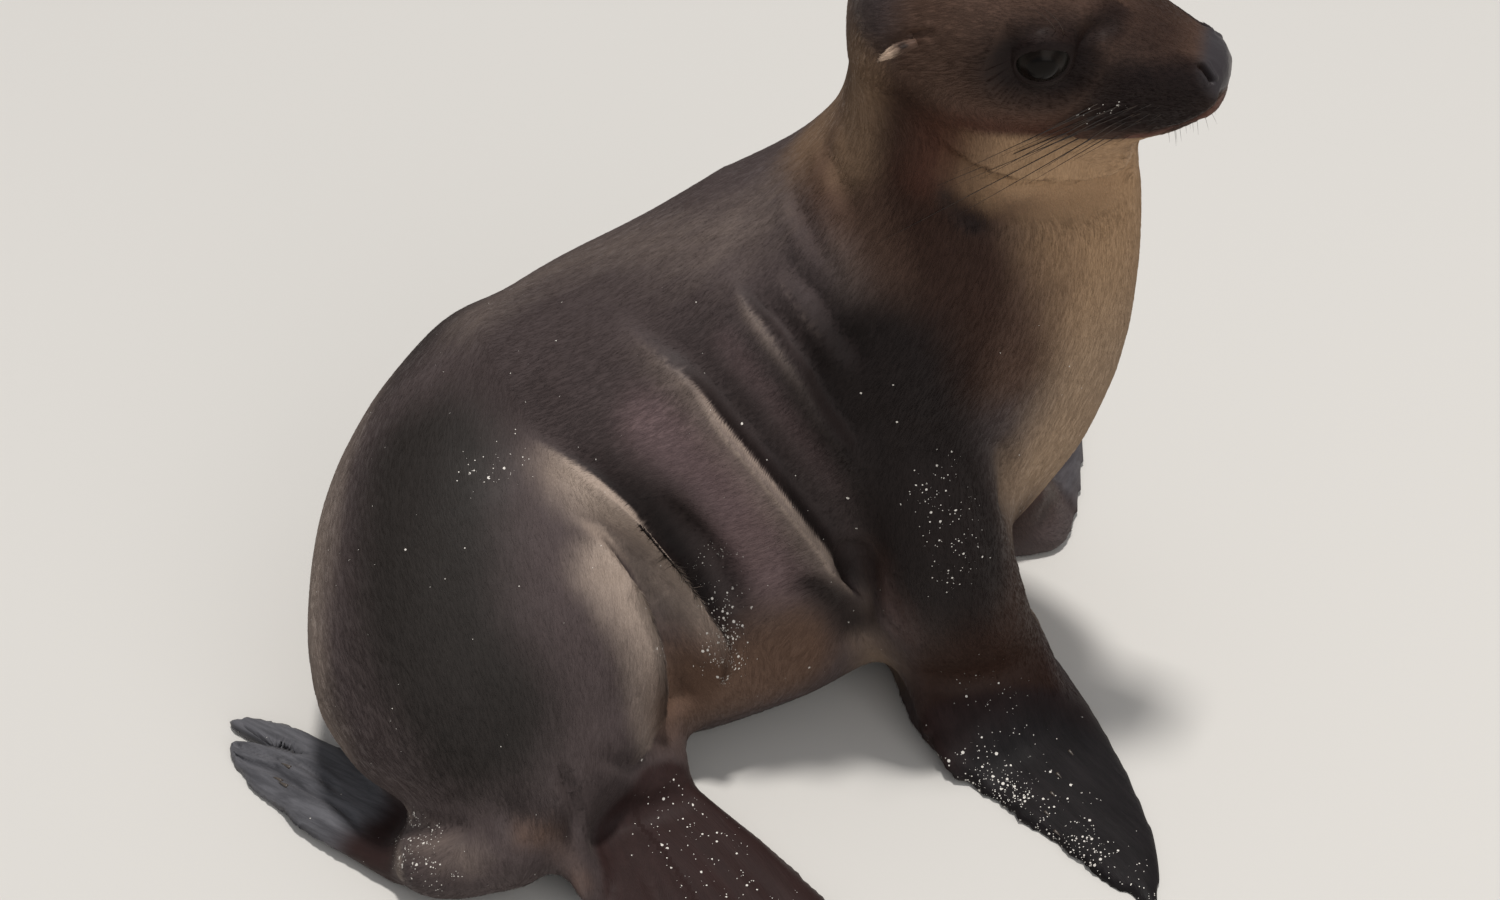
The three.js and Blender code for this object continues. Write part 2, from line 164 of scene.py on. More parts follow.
# ---- the skin's mass


def welded(name):
    """A CAD node's points and triangles, with its shared points merged."""
    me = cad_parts[name].data
    me.calc_loop_triangles()
    key, back = np.unique(np.round(read(me.vertices, "co", 3), 6), axis=0, return_inverse=True)
    tri = back.ravel()[read(me.loop_triangles, "vertices", 3, int)]
    keep = (tri[:, 0] != tri[:, 1]) & (tri[:, 1] != tri[:, 2]) & (tri[:, 2] != tri[:, 0])
    return key, tri[keep]


def fattened(co, tri, by):
    """The points moved out along their normals."""
    facing = unit(np.cross(co[tri[:, 1]] - co[tri[:, 0]], co[tri[:, 2]] - co[tri[:, 0]]))
    total = np.zeros_like(co)
    for k in range(3):
        np.add.at(total, tri[:, k], facing)
    return co + unit(total) * by


def ball(around, rings):
    """Directions from a ball's centre, ring by ring and then both poles, and its triangles."""
    a = np.repeat(math.pi * np.arange(1, rings) / rings, around)
    b = np.tile(np.arange(around) * 2 * math.pi / around, rings - 1)
    out = np.stack([np.sin(a) * np.cos(b), np.sin(a) * np.sin(b), np.cos(a)], 1)
    top, bottom, last = len(out), len(out) + 1, (rings - 2) * around
    tri = []
    for j in range(around):
        k = (j + 1) % around
        tri += [(top, j, k), (bottom, last + k, last + j)]
        for i in range(0, last, around):
            tri += [(i + j, i + around + j, i + around + k), (i + j, i + around + k, i + k)]
    return np.vstack([out, [0, 0, 1], [0, 0, -1]]), np.array(tri)


def tube(start, rings, around):
    """The faces between rings of points, the first of which is numbered start."""
    last = start + (rings - 1) * around
    return [(i + j, i + k, i + around + k, i + around + j) for i in range(start, last, around)
            for j, k in zip(range(around), [*range(1, around), 0])]


def lump(at, radii, turn=(0, 0, 0), around=20, rings=12):
    """An ellipsoid of flesh: its centre, half sizes and turn, in millimetres and degrees."""
    co, tri = ball(around, rings)
    return co * mm(radii) @ np.array(Euler([math.radians(t) for t in turn]).to_matrix()).T + mm(at), tri


def roll(path, radii):
    """A string of overlapping lumps along a curve, for a fold of skin."""
    line = curve(path, 6)
    sizes = np.interp(np.linspace(0, 1, len(line)), np.linspace(0, 1, len(radii)), radii)
    return [lump(p, (r, r, r), around=12, rings=8) for p, r in zip(line, sizes)]


def in_scene(o):
    bpy.context.scene.collection.objects.link(o)
    return o


def mesh_object(name, co, faces):
    me = bpy.data.meshes.new(name)
    me.from_pydata(co, [], faces)
    shade_smooth(me)
    me.update()
    return in_scene(bpy.data.objects.new(name, me))


def piece(name, co, faces, material):
    """A piece of the animal with its own mesh."""
    o = mesh_object(name, co, faces)
    o.data.materials.append(material)
    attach(o, "root")
    return o


def shade_smooth(me):
    write(me.polygons, "use_smooth", np.ones(len(me.polygons)), bool)


def coordinates(me):
    return read(me.vertices, "co", 3)


def normals(me):
    me.update()
    return read(me.vertices, "normal", 3)


def put(me, co):
    write(me.vertices, "co", co)
    me.update()


FLESH = [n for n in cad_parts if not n.startswith("eye_")]

# Where the head sits, and how it is turned. Its own frame has X to the nose and Z up.
HEAD_TURN = np.array((Matrix.Rotation(-0.14, 3, "Z") @ Matrix.Rotation(0.21, 3, "Y")
                      @ Matrix.Rotation(0.19, 3, "X")))
HEAD_AT = mm([133.4, -14.6, 506])
SIDES = (-1, 1)


def on_head(points):
    return np.array(points, float).reshape(-1, 3) @ HEAD_TURN.T + HEAD_AT / MM


def on_side(side, points):
    """The head's points, given for its left side, on one of its sides: -1 is the near, right one."""
    return on_head(np.array(points, float) * [1, side, 1])


def from_head(points):
    """The model's coordinates of points in the head's frame, in metres."""
    return points * MM @ HEAD_TURN.T + HEAD_AT


def to_head(co):
    """Points in the head's own frame, in millimetres."""
    return (co - HEAD_AT) @ HEAD_TURN / MM


LUMPS = [
    lump((-80, -108, 92), (67, 60, 80)),  # thigh
    *roll([(-62, -80, 200), (-33, -86, 186), (-12, -86, 165), (4, -88, 136), (13, -96, 112), (15, -102, 84)],
          [10, 15, 17, 17, 15, 10]),  # fold of skin in front of the thigh
]
for side in SIDES:
    LUMPS.append(lump(on_side(side, [142, 17, -12])[0], (22, 19, 17), (0, 12, -8)))  # whisker bed
    LUMPS.append(lump(on_side(side, [66, 35, 11])[0], (19, 19, 19)))  # lids over the eyeball


def build_mass():
    """The solids of flesh and the lumps as one closed skin. The ears are added to it later."""
    verts, faces, count = [], [], 0
    for co, tri in [welded(n) for n in FLESH if not n.startswith("ear_")] + LUMPS:
        verts.append(fattened(co, tri, SWELL))
        faces.append(tri + count)
        count += len(co)
    o = mesh_object("skin", np.vstack(verts), np.vstack(faces))
    m = o.modifiers.new("remesh", "REMESH")
    m.mode, m.voxel_size, m.adaptivity = "VOXEL", VOXEL, 0
    me = bpy.data.meshes.new_from_object(o.evaluated_get(bpy.context.evaluated_depsgraph_get()))
    o.modifiers.clear()
    o.data = me
    return o


def edges_of(me):
    return read(me.edges, "vertices", 2, int)


def relaxed(values, edges, strength, turns):
    """The values evened out over their neighbours."""
    out = values.reshape(len(values), -1).copy()
    n, width = out.shape
    a, b = edges.T
    degree = np.maximum(np.bincount(edges.ravel(), minlength=n), 1)[:, None]
    share = strength if np.isscalar(strength) else strength[:, None]
    for _ in range(turns):
        total = [np.bincount(a, out[b, k], n) + np.bincount(b, out[a, k], n) for k in range(width)]
        out += share * (np.stack(total, 1) / degree - out)
    return out.reshape(values.shape)


def spread(count, weight):
    """Picks triangles by their weight, and a place in each, as the weights of its corners."""
    pick = rng.choice(len(weight), count, p=weight / weight.sum())
    r = rng.random((count, 2))
    r = np.where(r.sum(1)[:, None] > 1, 1 - r, r)
    return pick, np.stack([1 - r[:, 0] - r[:, 1], r[:, 0], r[:, 1]], 1)


def blend_at(values, tri, bary):
    """The values at places on triangles."""
    return np.einsum("ij,ij...->i...", bary, values[tri])


def triangle_areas(co, tri):
    a, b, c = co[tri[:, 0]], co[tri[:, 1]], co[tri[:, 2]]
    return np.linalg.norm(np.cross(b - a, c - a), axis=1) / 2


def tree_of(points):
    tree = KDTree(len(points))
    for i, p in enumerate(points):
        tree.insert(p, i)
    tree.balance()
    return tree


def nearest_node(co):
    """The name of the CAD node nearest to each point, as a number into FLESH."""
    samples, labels = [], []
    for i, name in enumerate(FLESH):
        v, t = welded(name)
        area = triangle_areas(v, t)
        count = int(min(4000, max(400, area.sum() / SAMPLE_STEP ** 2)))
        pick, bary = spread(count, area)
        samples.append(blend_at(v, t[pick], bary))
        labels.append(np.full(count, i))
    samples, labels = np.vstack(samples), np.concatenate(labels)
    tree = tree_of(samples)
    return labels[[tree.find(p)[1] for p in co]]


skin = build_mass()
me = skin.data
co = coordinates(me)
edges = edges_of(me)
label = nearest_node(co)


def share_of(*names):
    """How far each point belongs to the nodes whose names start with these."""
    wanted = [i for i, n in enumerate(FLESH) if n.startswith(names)]
    return relaxed(np.isin(label, wanted).astype(float), edges, 0.5, 12)


# Evening out the facets: strongly on the trunk, lightly on the head and limbs. What was lost of the
# large form is put back.
on_trunk = share_of("neck", "chest", "belly", "hindquarters")
on_face = share_of("head", "lower_jaw", "nose")
on_ears = share_of("ear_")
on_flippers = share_of("fore_flipper", "hind_flipper")
on_limbs = share_of("fore_leg", "hind_leg", "tail")
strength = 0.5 * on_trunk + 0.13 * on_face + 0.16 * on_limbs + 0.05 * on_flippers + 0.02 * on_ears
smooth = relaxed(co, edges, strength, 60)
co = smooth + relaxed(co - smooth, edges, strength, 60)
put(me, co)
inset = SWELL + COAT * (1 - on_flippers) + BARE_COAT * on_flippers
co = co - normals(me) * inset[:, None]
co[:, 2] -= 1.2 * MM * (1 - smoothstep(co[:, 2], 2 * MM, 8 * MM))
co[:, 2] = np.maximum(co[:, 2], FLOOR_GAP)
put(me, co)

# ---- finer mesh where the detail is


def store(me, name, values):
    """Keeps a number or a vector for each point of a mesh."""
    kind, what = ("FLOAT", "value") if values.ndim == 1 else ("FLOAT_VECTOR", "vector")
    write((me.attributes.get(name) or me.attributes.new(name, kind, "POINT")).data, what, values)


def stored(name):
    return read(me.attributes[name].data, "value", 1)[:, 0]


def near_paths(inner, outer, *paths):
    return np.max([reach(coordinates(me), path, inner, outer) for path in paths], axis=0) > 0.3


def refine(chosen):
    """Halves the mesh's edges where both ends are chosen."""
    bm = bmesh.new()
    bm.from_mesh(me)
    bm.verts.ensure_lookup_table()
    picked = [e for e in bm.edges if chosen[e.verts[0].index] and chosen[e.verts[1].index]]
    bmesh.ops.subdivide_edges(bm, edges=picked, cuts=1, use_grid_fill=True)
    bm.to_mesh(me)
    bm.free()
    me.update()


for name, values in (("face", on_face), ("flippers", on_flippers), ("limbs", on_limbs)):
    store(me, name, values)

HIP_FOLD = [(-116, -45, 227), (-88, -62, 222), (-59, -80, 212), (-31, -94, 195), (-11, -100, 169),
            (7, -104, 137), (19, -110, 112), (22, -116, 92), (12, -122, 74)]
THIGH_EDGE = [(-78, -92, 199), (-52, -102, 179), (-33, -112, 155), (-20, -122, 130), (-15, -130, 106),
              (-13, -134, 80), (-13, -134, 56)]
FOLD_2 = [(-60, -10, 296), (-22, -55, 290), (2, -76, 279), (20, -89, 259), (40, -97, 235), (59, -98, 206),
          (80, -93, 168), (98, -84, 128), (106, -78, 100)]
FOLD_3 = [(18, -35, 341), (34, -61, 325), (49, -77, 311), (64, -89, 293), (78, -95, 271), (92, -99, 250),
          (98, -97, 226)]
FOLD_4 = [(44, -48, 348), (60, -68, 336), (74, -80, 320), (87, -90, 304), (96, -93, 288)]
BEHIND_ARM = [(102, -90, 190), (100, -88, 150), (104, -84, 120), (110, -72, 88)]
BEFORE_ARM = [(178, -82, 250), (187, -78, 228), (193, -72, 203), (196, -68, 172)]
LEFT_TOE_GAPS = [
    [(-296, -88, 9), (-287, -95, 10), (-269, -106, 12), (-249, -115, 14), (-238, -120, 15)],
    [(-296, -100, 9), (-288, -107, 10), (-268, -117, 12), (-247, -126, 14), (-229, -144, 16),
     (-213, -166, 19)],
    [(-296, -110, 9), (-287, -118, 10), (-266, -129, 12), (-245, -147, 14), (-217, -168, 18),
     (-206, -182, 19), (-194, -200, 22)],
]
RIGHT_TOES = [((-11, -148), (125, -310)), ((-23, -152), (93, -302)), ((-35, -154), (63, -308)),
              ((-47, -154), (33, -312)), ((-59, -150), (-9, -322))]
TRAILING_EDGE = [(121, 0, 4), (119, -24, 4), (126, -60, 4), (147, -102, 4), (175, -134, 4), (207, -167, 4),
                 (235, -196, 3), (268, -227, 3)]
LEFT_TRAILING_EDGE = [(x + 19, 86 - y, z) for x, y, z in TRAILING_EDGE]
# Lines on the left side of the head, in the head's frame.
JAW_LINE = [(146, 8, -74), (136, 16, -76), (123, 27, -75), (100, 43, -71), (77, 52, -69), (56, 55, -65),
            (40, 53, -60), (24, 51, -52)]
LIP_LINE = [(181, 2, -15), (174, 13, -20), (163, 23, -26), (144, 30.5, -33.5), (124, 37, -35.5),
            (105, 44, -36.5), (91, 48, -34)]
EAR_SLIT = [(9, 64, 26), (1, 66, 24), (-7, 68, 19), (-12, 67, 14)]

hd = to_head(coordinates(me))
face = (hd[:, 0] > -25) & (hd[:, 2] > -90) & (hd[:, 2] < 60) & (np.abs(hd[:, 1]) < 95)
face &= stored("face") > 0.15
grooved = stored("flippers") * (coordinates(me)[:, 0] < 60 * MM) * (normals(me)[:, 2] > 0.3) > 0.5
refine(face | grooved | near_paths(6, 13, HIP_FOLD, THIGH_EDGE, FOLD_2[2:], FOLD_3[1:]))
hd = to_head(coordinates(me))
fine = (hd[:, 0] > 140) & (np.abs(hd[:, 1]) < 40) & (hd[:, 2] > -45) & (hd[:, 2] < 35)
for side in SIDES:
    fine |= np.linalg.norm(hd - [66, 40 * side, 11], axis=1) < 30
    fine |= near_paths(4, 9, on_side(side, LIP_LINE), on_side(side, JAW_LINE))
refine(fine)
for path in (HIP_FOLD[2:], THIGH_EDGE[1:], FOLD_2[2:], LEFT_TOE_GAPS[0], LEFT_TOE_GAPS[2]):
    refine(near_paths(3, 7, path))

# ---- folds, lids, lips and nostrils

co = coordinates(me)
edges = edges_of(me)


def press(path, shape, within=60, fade=(0.12, 0.12)):
    """Moves the skin along its normal by the stroke's height, in millimetres."""
    global co
    put(me, co)
    no = normals(me)
    co = co + no * (stroke(co, no, path, shape, within, fade) * MM)[:, None]


def overlap(rise, broad, drop, sharp, deep):
    """The section of a fold that rises from the left and drops off sharply on its right."""
    def shape(u):
        left = rise * np.exp(-(u / broad) ** 2)
        v = np.maximum(u, 0)
        right = rise * np.exp(-(v / sharp) ** 2) - drop * (v / deep) * np.exp(1 - v / deep)
        return np.where(u < 0, left, right)
    return shape


def groove(depth, width, lips=0.0):
    def shape(u):
        return -depth * np.exp(-(u / width) ** 2) + lips * np.exp(-((np.abs(u) - 2.2 * width) / width) ** 2)
    return shape


def ridge(height, width):
    return lambda u: height * np.exp(-(u / width) ** 2)


press(HIP_FOLD, overlap(5, 20, 3, 6, 9), fade=(0.3, 0.12))
press([(-38, -87, 219), (-13, -95, 195), (9, -98, 167), (25, -101, 137), (33, -106, 108)], groove(11, 10),
      fade=(0.4, 0.3))
press(THIGH_EDGE, overlap(5, 24, 10, 4, 7), fade=(0.25, 0.08))
press(FOLD_2, overlap(7, 22, 10, 4, 12), fade=(0.45, 0.2))
press(FOLD_3, overlap(5, 14, 7, 4, 10), fade=(0.35, 0.25))
press(FOLD_4, overlap(4, 9, 7, 4, 8), fade=(0.35, 0.3))
press(BEHIND_ARM, groove(7, 7, 1.5), fade=(0.4, 0.3))
press(BEFORE_ARM, groove(6, 6, 1.5), fade=(0.4, 0.2))
for path in ([(112, -96, 140), (124, -100, 122), (130, -100, 104)],
             [(108, -94, 152), (120, -102, 140), (128, -104, 126)],
             [(112, -90, 122), (122, -95, 106), (130, -95, 92)],
             [(110, -93, 160), (118, -100, 152), (126, -104, 142)]):
    press(path, groove(2.6, 2.8, 1.2), 20, (0.4, 0.4))


def far(path):
    """A fold of the near side on the far one, which the body's turn stretches: only the arm's folds show."""
    return [(x, 24 - y, z) for x, y, z in path]


press(far(FOLD_3)[::-1], overlap(3, 18, 5, 5, 11), fade=(0.35, 0.35))
press(far(FOLD_2[3:])[::-1], overlap(3, 22, 5, 6, 13), fade=(0.35, 0.35))
press(far(BEHIND_ARM), groove(5, 7, 1.5), fade=(0.4, 0.3))
press(far(BEFORE_ARM), groove(4, 6, 1.5), fade=(0.4, 0.2))

# Soft creases round the neck.
for path in ([(76, -4, 410), (81, -31, 403), (92, -50, 392), (104, -63, 380)],
             [(60, -10, 380), (68, -36, 372), (80, -56, 358), (92, -70, 344)],
             [(147, -62, 407), (158, -67, 399), (172, -69, 388)]):
    press(path, groove(1.8, 5, 1.2), 40, (0.4, 0.4))

# Behind the thigh, where the right hind limb and the tail come out.
for path, shape in (
    ([(-80, -196, 94), (-74, -202, 86), (-70, -206, 74), (-67, -210, 57), (-66, -218, 39)],
     groove(7, 3.4, 2)),
    ([(-60, -190, 92), (-34, -172, 62), (-14, -150, 48)], groove(3, 7)),
    ([(-112, -214, 76), (-109, -221, 67), (-103, -228, 62), (-98, -233, 54)], groove(2.2, 2.6, 1.4)),
    ([(-104, -212, 76), (-100, -219, 67), (-95, -227, 61), (-90, -229, 51)], groove(2.2, 2.6, 1.4)),
    ([(-176, -206, 44), (-162, -212, 50), (-149, -216, 54), (-124, -222, 62)], groove(3.5, 5, 1.0)),
):
    press(path, shape, 30, (0.3, 0.3))

# Toes of the hind feet, the rays of the fore flippers and their ragged trailing edges.
GAP_SECTIONS = ((5.5, 3.0, 1.5), (3.4, 2.4, 1.6), (3.6, 2.8, 1.6))
for gap, section, fade in zip(LEFT_TOE_GAPS, GAP_SECTIONS, (0.3, 0.4, 0.4)):
    press(gap, groove(*section), 25, (0.0, fade))
press([(-262, -140, 12), (-240, -160, 15), (-212, -186, 18)], ridge(2, 7), 25, (0.4, 0.4))
for toes in zip(RIGHT_TOES, RIGHT_TOES[1:]):
    (x0, y0), (x1, y1) = np.mean(toes, axis=0)
    gap = [(x0 * (1 - t) + x1 * t, y0 * (1 - t) + y1 * t, 26 - 20 * t) for t in (0.15, 0.4, 0.6, 0.8, 0.98)]
    press(gap, groove(0.9, 4, 0.4), 25, (0.5, 0.0))
for line, way in ((TRAILING_EDGE, 1), (LEFT_TRAILING_EDGE, -1)):
    for k in range(1, 5):
        ray = [(x + (8 + 13 * k) * (1 - 0.55 * i / 7), y + way * (2 + 2.6 * k) * (1 - 0.5 * i / 7),
                22 - 2 * i) for i, (x, y, z) in enumerate(line)][1:]
        press(ray, groove(1.1, 4.0, 0.9), 30, (0.35, 0.3))


def ragged(line, inward):
    """Nicks along the thin trailing edge of a fore flipper."""
    edge = curve(mm(line), 8)
    offset, share, heading = nearest_on(co, edge)
    run = share * np.linalg.norm(np.diff(edge, axis=0), axis=1).sum() / MM
    nick = (np.sin(run / 5.3) + np.sin(run / 2.9 + 1.7) + 1.3 * np.sin(run / 11.0 + 0.6)) / 3.3
    off = np.linalg.norm(offset[:, :2], axis=1) / MM
    amount = 5.6 * np.clip(nick, -0.15, 1) * np.exp(-(off / 8) ** 2) * stored("flippers")
    amount *= co[:, 2] < 24 * MM
    return amount[:, None] * MM * np.array(inward) * smoothstep(run, 20, 60)[:, None]


def spread_toes():
    """Sets the inner toe of the left hind foot apart from the others, with a notch between their tips."""
    x, y = co[:, 0] / MM, co[:, 1] / MM
    beyond = smoothstep(-x, 150, 235) * (co[:, 2] < 50 * MM)
    gap = y + 95 + 0.55 * (x + 287)
    inner = smoothstep(gap, -3, 9) * (1 - 0.8 * smoothstep(-x, 262, 304))
    co[:, 1] += (7 + 12 * inner) * beyond * MM
    notch = 26 * np.exp(-((gap + 1) / 4.5) ** 2) * smoothstep(-x, 262, 300) * (co[:, 2] < 40 * MM)
    shorter = 20 * smoothstep(-gap, 8, 55) * smoothstep(-x, 225, 300) * (co[:, 2] < 40 * MM)
    co[:, 0] += (notch + shorter) * MM
    co[:, 1] -= (0.5 * notch + 0.3 * shorter) * MM


LEADING_EDGE = [(255, -38, 3), (264, -93, 7), (274, -130, 7), (281, -159, 7), (285, -188, 6), (285, -215, 4)]

spread_toes()
co = relaxed(co, edges, 0.5 * reach(co, LEADING_EDGE, 6, 13), 8)
co = co + ragged(TRAILING_EDGE, (0.62, 0.5, 0))
co = co + ragged(LEFT_TRAILING_EDGE, (0.62, -0.5, 0))


def press_head(side, points, shape, within, fade):
    """Presses a stroke on one side of the head. Its points run from front to back on the near side."""
    press(on_side(side, points)[::-side], shape, within, fade[::-side])


# Jaw and cheek over the throat, on both sides, softening towards the chin.
for side in SIDES:
    press_head(side, JAW_LINE, overlap(5, 15, 13, 3.4, 9), 40, (0.12, 0.3))
    press_head(side, [(178, 2, -27), (170, 14, -34), (157, 23, -40), (140, 29, -44)], ridge(2.6, 6), 30,
               (0.2, 0.3))

put(me, co)
give = 0.2 * (1 - stored("flippers")) * (1 - smoothstep(to_head(co)[:, 0], 110, 150))
for path in (HIP_FOLD, THIGH_EDGE):
    give = np.maximum(give, 0.45 * reach(co, path, 6, 14))
co = relaxed(co, edges, give, 3)

# Muzzle: the lips' line, the whisker pad, the nostril and its wing, the rows of the whiskers, the
# inner corner of the brow, the ear's slit and the groove under the nose.
for side in SIDES:
    press_head(side, LIP_LINE, overlap(2.2, 6, 4.2, 1.8, 2.6), 30, (0.02, 0.12))
    press_head(side, [(171, 20, 4), (169, 23, -6), (163, 26, -14), (152, 29, -22), (136, 34, -28)],
               overlap(1.8, 7, 2.4, 1.8, 2.8) if side < 0 else groove(2, 2, 1.4), 30, (0.2, 0.4))
    press_head(side, [(152, 17, 14), (157, 18, 12.5), (162, 20, 9), (165, 21, 4.5)],
               groove(5.5, 1.5, 1.3), 20, (0.25, 0.2))
    press_head(side, [(145, 17, 20), (155, 14, 20), (164, 12.5, 16), (169, 15, 8)],
               ridge(0.9, 2.6), 20, (0.3, 0.3))
    for k in range(4):
        press_head(side, [(148 - k, 33, -2 - 7 * k), (134 - k, 37, -3 - 7 * k), (112 - k, 42, -7 - 7 * k)],
                   groove(0.45, 2.0, 0.4), 30, (0.3, 0.3))
    press_head(side, [(87, 38, 27), (95, 29, 32), (106, 24, 36)], groove(2.6, 5, 0.8), 30, (0.3, 0.4))
    press_head(side, EAR_SLIT, groove(5.5, 2.8, 0.8), 20, (0.2, 0.3))
press(on_head([[186, 0, 2], [185, 0, -5], [183, 0, -13]]), groove(1.4, 1.6, 0.4), 20, (0.3, 0.1))

# The left eye, in the head's frame and in millimetres. The socket and the lid's edge lie inside and
# outside the eyeball's radius.
EYE_RADIUS = 18.5
SOCKET_RADIUS = 0.84 * EYE_RADIUS
LID_RADIUS = EYE_RADIUS + 0.8
EYE_AT = np.array([66, 35.5, 11])
EYE_AXIS = unit(np.array([0.16, 0.97, 0.08]))


def opening(hd, side):
    """For points in the head's frame: how far each is from the eye's centre, how far it lies from the
    middle of the opening, where 1 is the lids' edge, its direction and its angle from the eye's axis."""
    centre, axis = EYE_AT * [1, side, 1], EYE_AXIS * [1, side, 1]
    front = np.array([1, 0, 0.08])
    front = unit(front - axis * (front @ axis))
    up = np.cross(front, axis)
    up *= np.sign(up[2])
    d = hd - centre
    r = np.linalg.norm(d, axis=1)
    w = d / r[:, None]
    tilt = np.degrees(np.arccos(np.clip(w @ axis, -1, 1)))
    x, z = w @ front, w @ up
    flat = np.maximum(np.hypot(x, z), 1e-9)
    x, z = tilt * x / flat, tilt * z / flat
    z -= 0.10 * x
    e = np.hypot(x / np.where(x > 0, 60, 50), z / np.where(z > 0, 36, 40))
    return r, e, w, tilt, centre


def lids(side):
    """Drapes the lids over the eyeball and opens them."""
    global co
    hd = to_head(co)
    r, e, w, tilt, centre = opening(hd, side)
    lid = LID_RADIUS + 1.3 * smoothstep(e, 1.0, 1.35)
    blend = smoothstep(e, 1.25, 2.1)
    outside = lid * (1 - blend) + np.maximum(r, lid) * blend
    outside = np.where(e > 2.1, r, outside)
    inside = SOCKET_RADIUS + (LID_RADIUS - SOCKET_RADIUS) * smoothstep(e, 0.93, 1.0)
    new = np.where(e < 1, inside, outside)
    moved = (r < 34) & (tilt < 100)
    hd[moved] = (centre + w * new[:, None])[moved]
    co = from_head(hd)


for side in SIDES:
    lids(side)
co[:, 2] = np.maximum(co[:, 2], FLOOR_GAP)
put(me, co)


def ear(side):
    """A small rolled leaf that points back and down, open along its upper edge."""
    root, tip = np.array([-0.5, 60 * side, 14.5]), np.array([-18.0, 70.5 * side, 4.5])
    way = unit(tip - root)
    up = np.array([0.25, 0.1 * side, 1.0])
    up = unit(up - way * (up @ way))
    out = np.cross(up, way)
    out *= np.sign(out[1] * side)
    rings, around = 22, 28
    b = 2 * math.pi * np.arange(around) / around
    rows = []
    for i in range(rings):
        t = i / (rings - 1)
        half = 4.9 * min(1, 0.7 + 0.5 * t) * (1 - t ** 3.4) ** 0.9 + 0.12
        thick = half * 0.6
        hollow = 1 - 0.55 * np.exp(-((b - math.pi / 2) / 0.55) ** 2) * math.sin(math.pi * t) ** 0.5
        centre = root + (tip - root) * t + up * 3.2 * math.sin(math.pi * t)
        rows.append(centre + np.stack([np.cos(b) * thick * hollow, np.sin(b) * half * hollow], 1) @ [out, up])
    end = rings * around
    closed = [(end - around + j, end - around + (j + 1) % around, end) for j in range(around)]
    return from_head(np.vstack([*rows, tip])), [*tube(0, rings, around), *closed, range(around - 1, -1, -1)]


def join_ears():
    bm = bmesh.new()
    bm.from_mesh(me)
    leaf = bm.verts.layers.float.new("leaf")
    face = bm.verts.layers.float["face"]
    for side in SIDES:
        v, f = ear(side)
        made = [bm.verts.new(p) for p in v]
        for i, vert in enumerate(made):
            vert[face] = 1
            vert[leaf] = min(1.0, max(0.02, (i / len(made) - 0.42) * 4))
        faces = [bm.faces.new([made[i] for i in corners]) for corners in f]
        bmesh.ops.recalc_face_normals(bm, faces=faces)
    bm.to_mesh(me)
    bm.free()
    me.update()


join_ears()
shade_smooth(me)
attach(skin, "root")
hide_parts(*FLESH)

# ---- markings, painted highlights and shade, and the lie of the coat

# The lines that the hair follows, each with how far it reaches.
SPINE = [(300, -38, 472), (232, -30, 486), (160, -15, 490), (172, -8, 440), (160, 2, 370), (125, 8, 300),
         (60, 16, 225), (-10, 20, 175), (-60, 40, 140), (-92, 30, 125), (-118, -8, 118), (-120, -60, 106),
         (-105, -118, 90), (-85, -165, 62), (-72, -205, 40), (-60, -248, 22)]
RIGHT_FORE = [(118, -40, 262), (140, -56, 180), (155, -60, 118), (168, -52, 72), (182, -62, 34),
              (200, -110, 12), (235, -160, 8), (270, -205, 5), (278, -236, 3)]
LEFT_FORE = [(122, 66, 262), (142, 82, 180), (162, 96, 118), (178, 112, 72), (190, 128, 34), (203, 180, 12),
             (232, 240, 8), (258, 300, 5), (262, 335, 3)]
RIGHT_HIND = [(-86, -80, 90), (-72, -100, 66), (-48, -128, 40), (-28, -152, 22), (20, -215, 12),
              (66, -310, 6)]
LEFT_HIND = [(-98, -150, 66), (-112, -190, 50), (-140, -210, 36), (-165, -206, 26), (-225, -160, 14),
             (-300, -105, 6)]
LINES = ((SPINE, 95), (RIGHT_FORE, 42), (LEFT_FORE, 42), (RIGHT_HIND, 38), (LEFT_HIND, 34))


def transported(line):
    """A direction across each step of a line, which turns with it."""
    steps = unit(np.diff(line, axis=0))
    across = np.cross(steps[0], [0.3, 1, 0.2])
    out = []
    for d in steps:
        across = unit(across - d * (across @ d))
        out.append(across)
    return steps, np.array(out)


def lie_of(co):
    """The way the hair points at each place, and coordinates that run along and across it."""
    heading, flow, best = np.zeros_like(co), np.zeros_like(co), np.full(len(co), np.inf)
    for points, radius in LINES:
        line = curve(mm(points), 5)
        offset, share, way = nearest_on(co, line)
        far = np.linalg.norm(offset, axis=1) / (radius * MM)
        heading += way / (0.05 + far[:, None]) ** 5
        steps, across = transported(line)
        run = np.concatenate([[0], np.cumsum(np.linalg.norm(np.diff(line, axis=0), axis=1))])
        which = np.clip(np.searchsorted(run, share * run[-1]) - 1, 0, len(steps) - 1)
        e1 = across[which]
        e2 = np.cross(steps[which], e1)
        here = np.stack([share * run[-1], (offset * e1).sum(1), (offset * e2).sum(1)], 1)
        flow[far < best] = here[far < best]
        best = np.minimum(best, far)
    return unit(heading), flow


def beside(left, right):
    """A band on a stroke, with its widths on the left and on the right."""
    return lambda u: np.exp(-(u / np.where(u < 0, left, right)) ** 2)


def under(start, wide):
    """A band on the right of a stroke."""
    return lambda u: smoothstep(u, 0, start) * np.exp(-(np.maximum(u - start, 0) / wide) ** 2)


def most(*values):
    return np.clip(np.max(values, axis=0), 0, 1)


